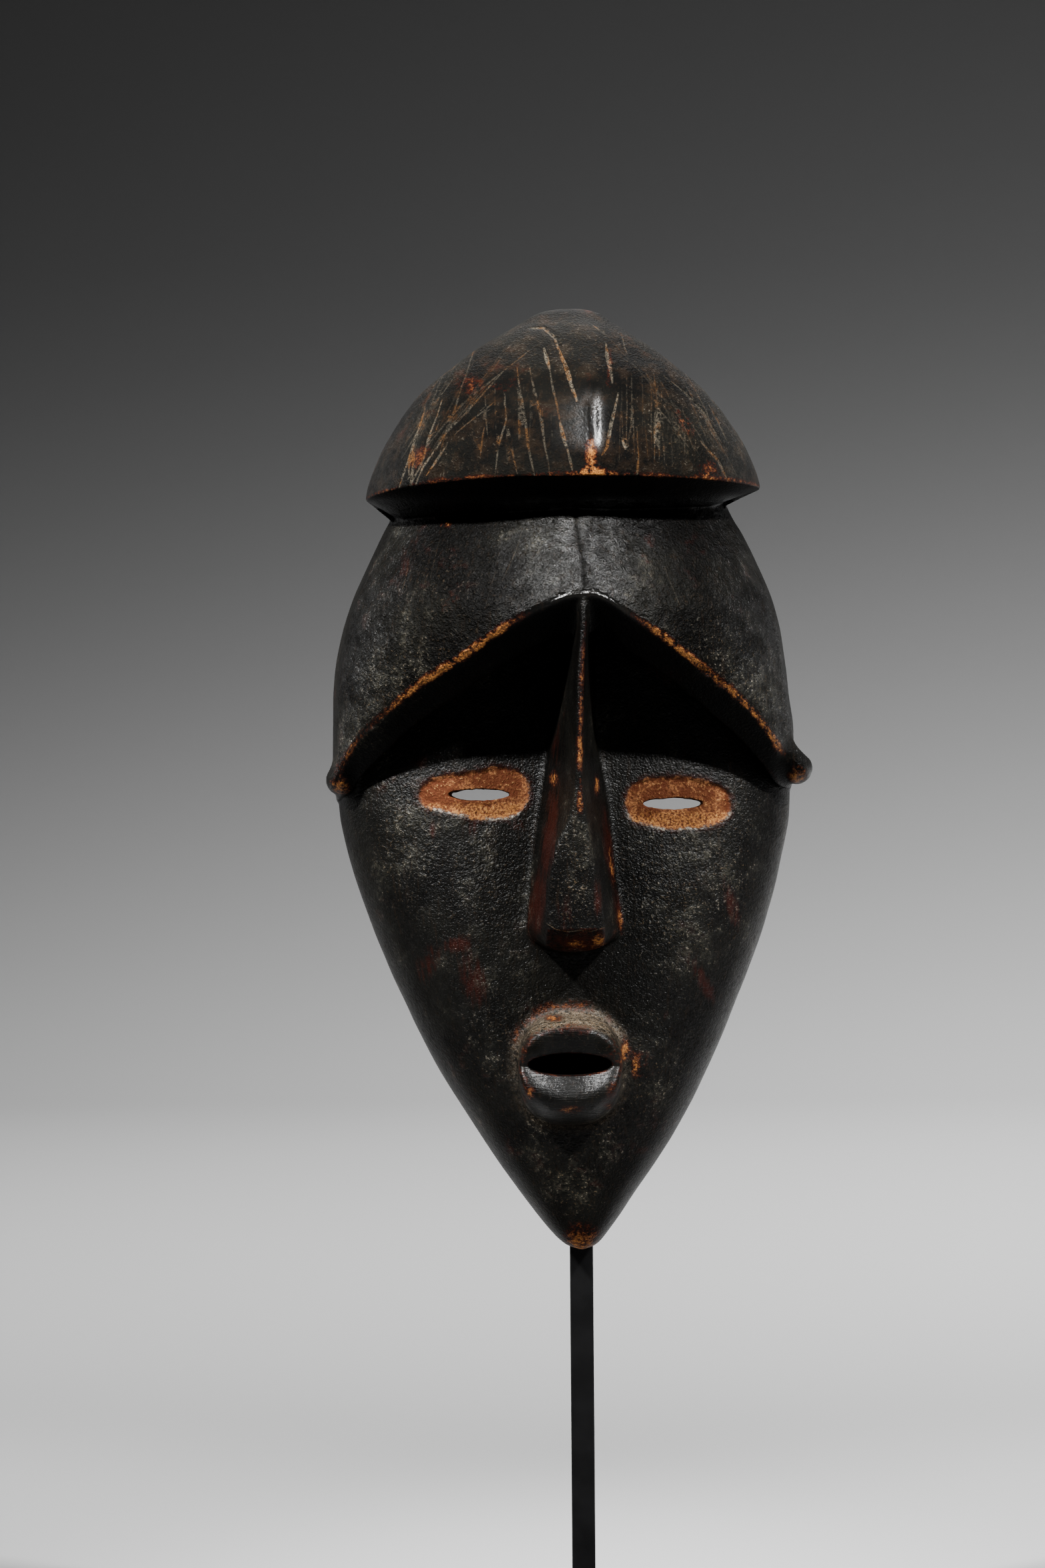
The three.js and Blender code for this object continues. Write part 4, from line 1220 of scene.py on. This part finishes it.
def patina(paint, fact, noise):
    """Soot black, with umber and oxblood that show through it."""
    colour = paint.mix(noise.clouds.eased(0.38, 0.62), BLACK, SOOT)
    colour = paint.mix(noise.fibres.eased(0.54, 0.72) * 0.4, colour, UMBER)
    colour = paint.mix(fact.cap * noise.patches.eased(0.46, 0.64) * 0.5, colour, UMBER)
    red = fact.stain * (1 + (noise.fibres - 0.5) * 2.4 + (noise.patches - 0.5) * 2)
    colour = paint.mix(red.eased(0.25, 0.9) * 0.9, colour, OXBLOOD)
    stray_red = noise.patches.eased(0.56, 0.72) * paint.noise(33, 2).eased(0.5, 0.62)
    return paint.mix(stray_red * 0.5, colour, OXBLOOD)


def dust_bloom(fact, noise):
    """Where grey dust clings to the patina."""
    bloom = (noise.clouds + noise.patches - 1.08 + fact.gritty * 0.32).eased(0, 0.3)
    return bloom * (1 - fact.shine) * (1 - fact.lips) * (1 - fact.cap * 0.4)


def dusted(paint, fact, noise, bloom, colour):
    colour = paint.mix(bloom * noise.crumbs.eased(0.4, 0.62) * 0.6, colour, GREY_DUST)
    # Tan and pale specks: grit, and glints of light painted into the colour
    painted_glint_flecks = noise.glint * (fact.gritty * 0.55 + bloom * 0.25 + 0.04)
    colour = paint.mix(painted_glint_flecks, colour, paint.mix(noise.patches.eased(0.45, 0.6), TAN, PALE_DUST_AND_LIGHT))
    dusty = fact.dust * (noise.patches * 1.3) * noise.crumbs.eased(0.3, 0.6)
    return paint.mix(dusty, colour, paint.mix(noise.grit.eased(0.4, 0.7), BROWN_DUST, PALE_DUST_AND_LIGHT))


def rubbed_through(paint, fact, noise, colour):
    """Wear from oxblood through rust to bare amber wood. Also gives the share of bare wood."""
    rub = fact.worn * (1 + (noise.crumbs - 0.5) * 4.4 + (noise.patches - 0.5) * 3)
    rub = rub + (noise.grit - 0.5) * 0.4 * fact.worn.eased(0, 0.3)
    colour = paint.mix(rub.eased(0.15, 0.42) * 0.8, colour, OXBLOOD)
    colour = paint.mix(rub.eased(0.35, 0.6), colour, RUST)
    bare = rub.eased(0.55, 0.95)
    return paint.mix(bare * noise.grit.eased(0.3, 0.62), colour, AMBER), bare


def pale_cuts(paint, noise, colour):
    """The cut lines, pale with dust or brown. Also gives their share."""
    cuts = 0
    for layer in range(LAYERS):
        cuts = cut_share(paint, layer, noise.grit - 0.5).or_more(cuts)
    scratch = cuts * (0.3 + noise.patches * 0.9) * noise.grit.eased(0.3, 0.6) * noise.crumbs.eased(0.32, 0.52)
    pale = paint.mix(noise.grit, CUT_BROWN, CUT_PALE)
    return paint.mix(scratch, colour, paint.mix(noise.patches.eased(0.46, 0.6), pale, CUT_RED)), scratch


def bare_hollow(paint, fact, noise, colour):
    """The unpainted brown wood inside."""
    bare = paint.mix(noise.fibres.eased(0.35, 0.7), BARE_DARK, BARE_LIGHT)
    bare = paint.mix(noise.clouds.eased(0.42, 0.66) * 0.75, bare, BARE_STAIN)
    return paint.mix(fact.inside, colour, bare)


def eye_clay(paint, fact, noise, colour):
    """The crumbly red earth round the eyes, with its dark border, darker on its upper part as painted shade
    and gold at its foot as painted light. Also gives its share.
    """
    border = fact.patch + (noise.patches - 0.5) * 3.2 + (noise.crumbs - 0.5) * 2.6
    colour = paint.mix(border.eased(2.6, 0.6) * noise.crumbs.eased(0.4, 0.6) * 0.7, colour, OXBLOOD)
    share = border.eased(0.6, -0.8)
    foot = fact.patch_foot
    clay = paint.mix(noise.sand.eased(0.3, 0.66), CLAY_RED, CLAY_ORANGE)
    clay = paint.mix(noise.grit.eased(0.46, 0.3) * 0.6, clay, CLAY_PIT)
    # Painted shade darkens the patch above its foot, and painted light turns its foot gold
    clay = paint.mix((noise.patches + (0.5 - foot) * 0.12).eased(0.46, 0.6) * 0.8, clay, CLAY_DARK_AND_SHADED)
    clay = paint.mix((1 - foot) * noise.patches.eased(0.36, 0.56) * 0.5, clay, CLAY_DARK_AND_SHADED)
    clay = paint.mix(foot * noise.sand.eased(0.4, 0.62) * 0.4, clay, CLAY_LIT_GOLD)
    # Painted glints in the clay
    clay = paint.mix(noise.glint * 0.5, clay, CLAY_GLINT)
    return paint.mix(share, colour, clay), share


def clay_lit_edge(paint, fact, noise, colour):
    """A pale line along the foot of each patch: a painted highlight on its lit lower edge."""
    edge = abs(fact.patch + (noise.patches - 0.5) * 2 - 0.2).eased(0.9, 0.1)
    painted_lit_edge = edge * fact.patch_foot * noise.patches.eased(0.44, 0.56)
    return paint.mix(painted_lit_edge * noise.crumbs.eased(0.42, 0.6) * 0.8, colour, PALE_DUST_AND_LIGHT)


def wood_relief(paint, fact, noise, mirror, bloom, clay):
    """Crackle, sand and brush marks, which the polished places lose."""
    crust = noise.crumbs * (0.3 + bloom * 0.2 + fact.gritty * 0.2) + noise.sand * 0.3
    crust = crust + noise.wrinkles * (0.1 + fact.brow * 0.4)
    height = crust * (1 - mirror * 0.85) + noise.grit * 0.07 + noise.patches * (0.15 + fact.brow * 1.4)
    height = height + clay * noise.sand * 0.1 + (noise.brushed * 0.2 + noise.patches * 0.4) * fact.lips
    return paint.relief(height)


def blackened_wood():
    """Black patina over brown wood: satin, crackled, rubbed through on the edges, dusty in the cuts."""
    paint = Paint("blackened_wood")
    fact = SimpleNamespace(**{name: paint.attribute(name) for name in WOOD_FACTS})
    noise = wood_noises(paint)
    bloom = dust_bloom(fact, noise)
    colour = dusted(paint, fact, noise, bloom, patina(paint, fact, noise))
    colour, bare = rubbed_through(paint, fact, noise, colour)
    colour, scratch = pale_cuts(paint, noise, colour)
    colour = bare_hollow(paint, fact, noise, colour)
    colour, clay = eye_clay(paint, fact, noise, colour)
    # Painted shade: faces that look down are darkened towards black
    colour = paint.mix(fact.under * (1 - fact.inside) * 0.8, colour, PAINTED_SHADE_BLACK)
    colour = clay_lit_edge(paint, fact, noise, colour)

    shine = fact.shine
    rough = 0.4 + fact.cap * (1 - shine) * 0.25 + noise.clouds * 0.06 + noise.grit * 0.08 - shine * 0.14
    rough = rough + (bare + scratch) * 0.12 + fact.dust * 0.2 + fact.inside * 0.1 + clay * 0.2
    streaky = (noise.patches - 0.5) * (0.8 + fact.brow * 2.4) + (noise.wrinkles - 0.5) * 1.6 + 0.75
    streaky = streaky.or_more(0.15) * (1 - fact.crease * 0.9)
    mirror = (shine + fact.lips).eased(0, 1)
    polished = fact.polish * (mirror + streaky * (1 - mirror)) * (1 - clay) * (1 - scratch * 0.7)
    look = {"Base_Color": colour, "Normal": wood_relief(paint, fact, noise, mirror, bloom, clay)}
    paint.finish(**look, Roughness=rough, Specular_IOR_Level=0.09)
    return paint.lay_over(polished, **look, Roughness=rough * 0.8, Specular_IOR_Level=0.75)


def black_steel():
    """Matt black lacquer on steel, with a faint orange-peel grain."""
    paint = Paint("black_steel")
    mottle = paint.noise(12, 3)
    peel = paint.noise(0.5, 2)
    scuffs = paint.noise(1, 3, 0.7, place=paint.stretched(1.2, 1.2, 40)).eased(0.62, 0.78)
    colour = paint.mix(mottle.eased(0.35, 0.7), (0.007, 0.007, 0.0072), (0.011, 0.011, 0.0115))
    colour = paint.mix(scuffs * 0.2, colour, (0.03, 0.03, 0.031))
    rough = 0.5 + mottle * 0.12 - scuffs * 0.1
    return paint.finish(
        Base_Color=colour, Roughness=rough, Normal=paint.relief(peel * 0.03 + mottle * 0.02), Metallic=0.0,
        Specular_IOR_Level=0.2,
    )


# The stand

STEEL_EASE = 0.45
SAME_POINT = 1e-6
FLAT_ANGLE, SHARP_ANGLE, SMOOTH_ANGLE = (math.radians(degrees) for degrees in (1, 25, 40))


def eased_steel(name, node, material):
    """The frame's own steel part with its sharp edges eased."""
    form = bmesh.new()
    form.from_mesh(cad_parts[node].data)
    bmesh.ops.remove_doubles(form, verts=form.verts, dist=SAME_POINT)
    bmesh.ops.dissolve_limit(form, angle_limit=FLAT_ANGLE, verts=form.verts, edges=form.edges)
    sharp = [e for e in form.edges if e.is_manifold and e.calc_face_angle(0) > SHARP_ANGLE]
    bmesh.ops.bevel(
        form, geom=sharp, offset=STEEL_EASE * MM, segments=2, profile=0.5, affect="EDGES", clamp_overlap=True,
    )
    mesh = bpy.data.meshes.new(name)
    form.to_mesh(mesh)
    form.free()
    mesh.materials.clear()
    piece = new_piece(name, mesh, material)
    mesh.set_sharp_from_angle(angle=SMOOTH_ANGLE)
    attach(piece, "root")
    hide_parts(node)


# The studio

PHOTO_HEIGHT = 2352
SENSOR = 36
FOCAL_PIXELS = 8740
CAMERA_PLACE = (-0.0192, -2.0043, 0.3102)
CAMERA_ROLL = 0.45
MASK_CENTRE = (0, -0.03, 0.33)
KEY_ELEVATION, KEY_DISTANCE, KEY_RADIUS, KEY_CONE = 40, 2.4, 0.08, 21
SOFT_DISTANCE, SOFT_SIZE = 2.2, 1.2
WORLD_GREY, WORLD_STRENGTH = 0.5, 0.03


def photo_camera():
    data = bpy.data.cameras.new("photo_camera")
    data.sensor_fit = "VERTICAL"
    data.sensor_height = SENSOR
    data.lens = SENSOR * FOCAL_PIXELS / PHOTO_HEIGHT
    data.clip_end = 60
    camera = bpy.data.objects.new("photo_camera", data)
    camera.location = CAMERA_PLACE
    camera.rotation_euler = (math.radians(90), math.radians(CAMERA_ROLL), 0)
    bpy.context.scene.collection.objects.link(camera)
    bpy.context.scene.camera = camera


def hang_light(name, data, place, aim):
    light = bpy.data.objects.new(name, data)
    light.location = place
    light.rotation_euler = (Vector(place) - Vector(aim)).to_track_quat("Z", "Y").to_euler()
    bpy.context.scene.collection.objects.link(light)


def soft_light(name, place, aim, size, watts):
    data = bpy.data.lights.new(name, "AREA")
    data.shape = "DISK"
    data.size = size
    data.energy = watts
    hang_light(name, data, place, aim)


def key_light(name, place, aim, watts):
    """A light in a snoot, which reaches the mask and little of the floor before it."""
    data = bpy.data.lights.new(name, "SPOT")
    data.shadow_soft_size = KEY_RADIUS
    data.spot_size = math.radians(KEY_CONE)
    data.spot_blend = 1
    data.energy = watts
    hang_light(name, data, place, aim)


def around(azimuth, elevation, distance):
    """A place round the mask at an azimuth from the front, positive to the right, and an elevation."""
    a, e = math.radians(azimuth), math.radians(elevation)
    away = Vector((math.sin(a) * math.cos(e), -math.cos(a) * math.cos(e), math.sin(e)))
    return Vector(MASK_CENTRE) + away * distance


def studio_lights():
    for name, azimuth, watts in (("key_left", -46, 400), ("key_right", 46, 320)):
        key_light(name, around(azimuth, KEY_ELEVATION, KEY_DISTANCE), MASK_CENTRE, watts)
    soft_light("backdrop_light", (0.4, 2.2, 3.2), (0.4, 3.6, 0), 1.6, 160)
    soft = (("back_light", 180, 50, 26), ("left_edge_light", -122, 15, 5), ("right_edge_light", 122, 15, 3))
    for name, azimuth, elevation, watts in soft:
        soft_light(name, around(azimuth, elevation, SOFT_DISTANCE), MASK_CENTRE, SOFT_SIZE, watts)


def seamless_backdrop():
    """A pale floor that sweeps up into a wall, graded darker towards its top as painted light falloff."""
    half_width, near, far, bend, top, steps = 9, -24, 4.6, 0.9, 6, 12
    profile = [(near, 0.0), (far - bend, 0.0)]
    for step in range(1, steps + 1):
        turn = math.radians(90 * step / steps)
        profile.append((far - bend + bend * math.sin(turn), bend - bend * math.cos(turn)))
    profile.append((far, top))
    points = [(side * half_width, y, z) for y, z in profile for side in (-1, 1)]
    faces = [(2 * i, 2 * i + 1, 2 * i + 3, 2 * i + 2) for i in range(len(profile) - 1)]
    mesh = bpy.data.meshes.new("backdrop")
    mesh.from_pydata(points, [], faces)
    backdrop = new_piece("backdrop", mesh, paper_with_painted_falloff())


def paper_with_painted_falloff():
    """Pale paper with painted light falloff: darker with height and a little towards the left."""
    paint = Paint("backdrop_painted_falloff")
    across, _, height = paint.parts(paint.place)
    power = (across.or_more(-800) * 0.17 - height) * (MM / 0.39)
    painted_falloff = paint.node("ShaderNodeMath", {"operation": "POWER"}, {0: math.e, 1: power})
    colour = paint.mix(painted_falloff * 0.47, (0, 0, 0), (1, 1, 1))
    return paint.finish(Base_Color=colour, Roughness=0.9)


def studio_world():
    world = bpy.data.worlds.new("studio")
    world.use_nodes = True
    background = world.node_tree.nodes["Background"]
    background.inputs["Color"].default_value = (WORLD_GREY, WORLD_GREY, WORLD_GREY, 1)
    background.inputs["Strength"].default_value = WORLD_STRENGTH
    bpy.context.scene.world = world
    bpy.context.scene.view_settings.look = "AgX - Medium High Contrast"


photo_camera()
seamless_backdrop()
studio_world()
studio_lights()

steel = black_steel()
carved_mask(blackened_wood())
eased_steel("steel_rod", "stand_rod", steel)
eased_steel("steel_foot", "stand_base", steel)
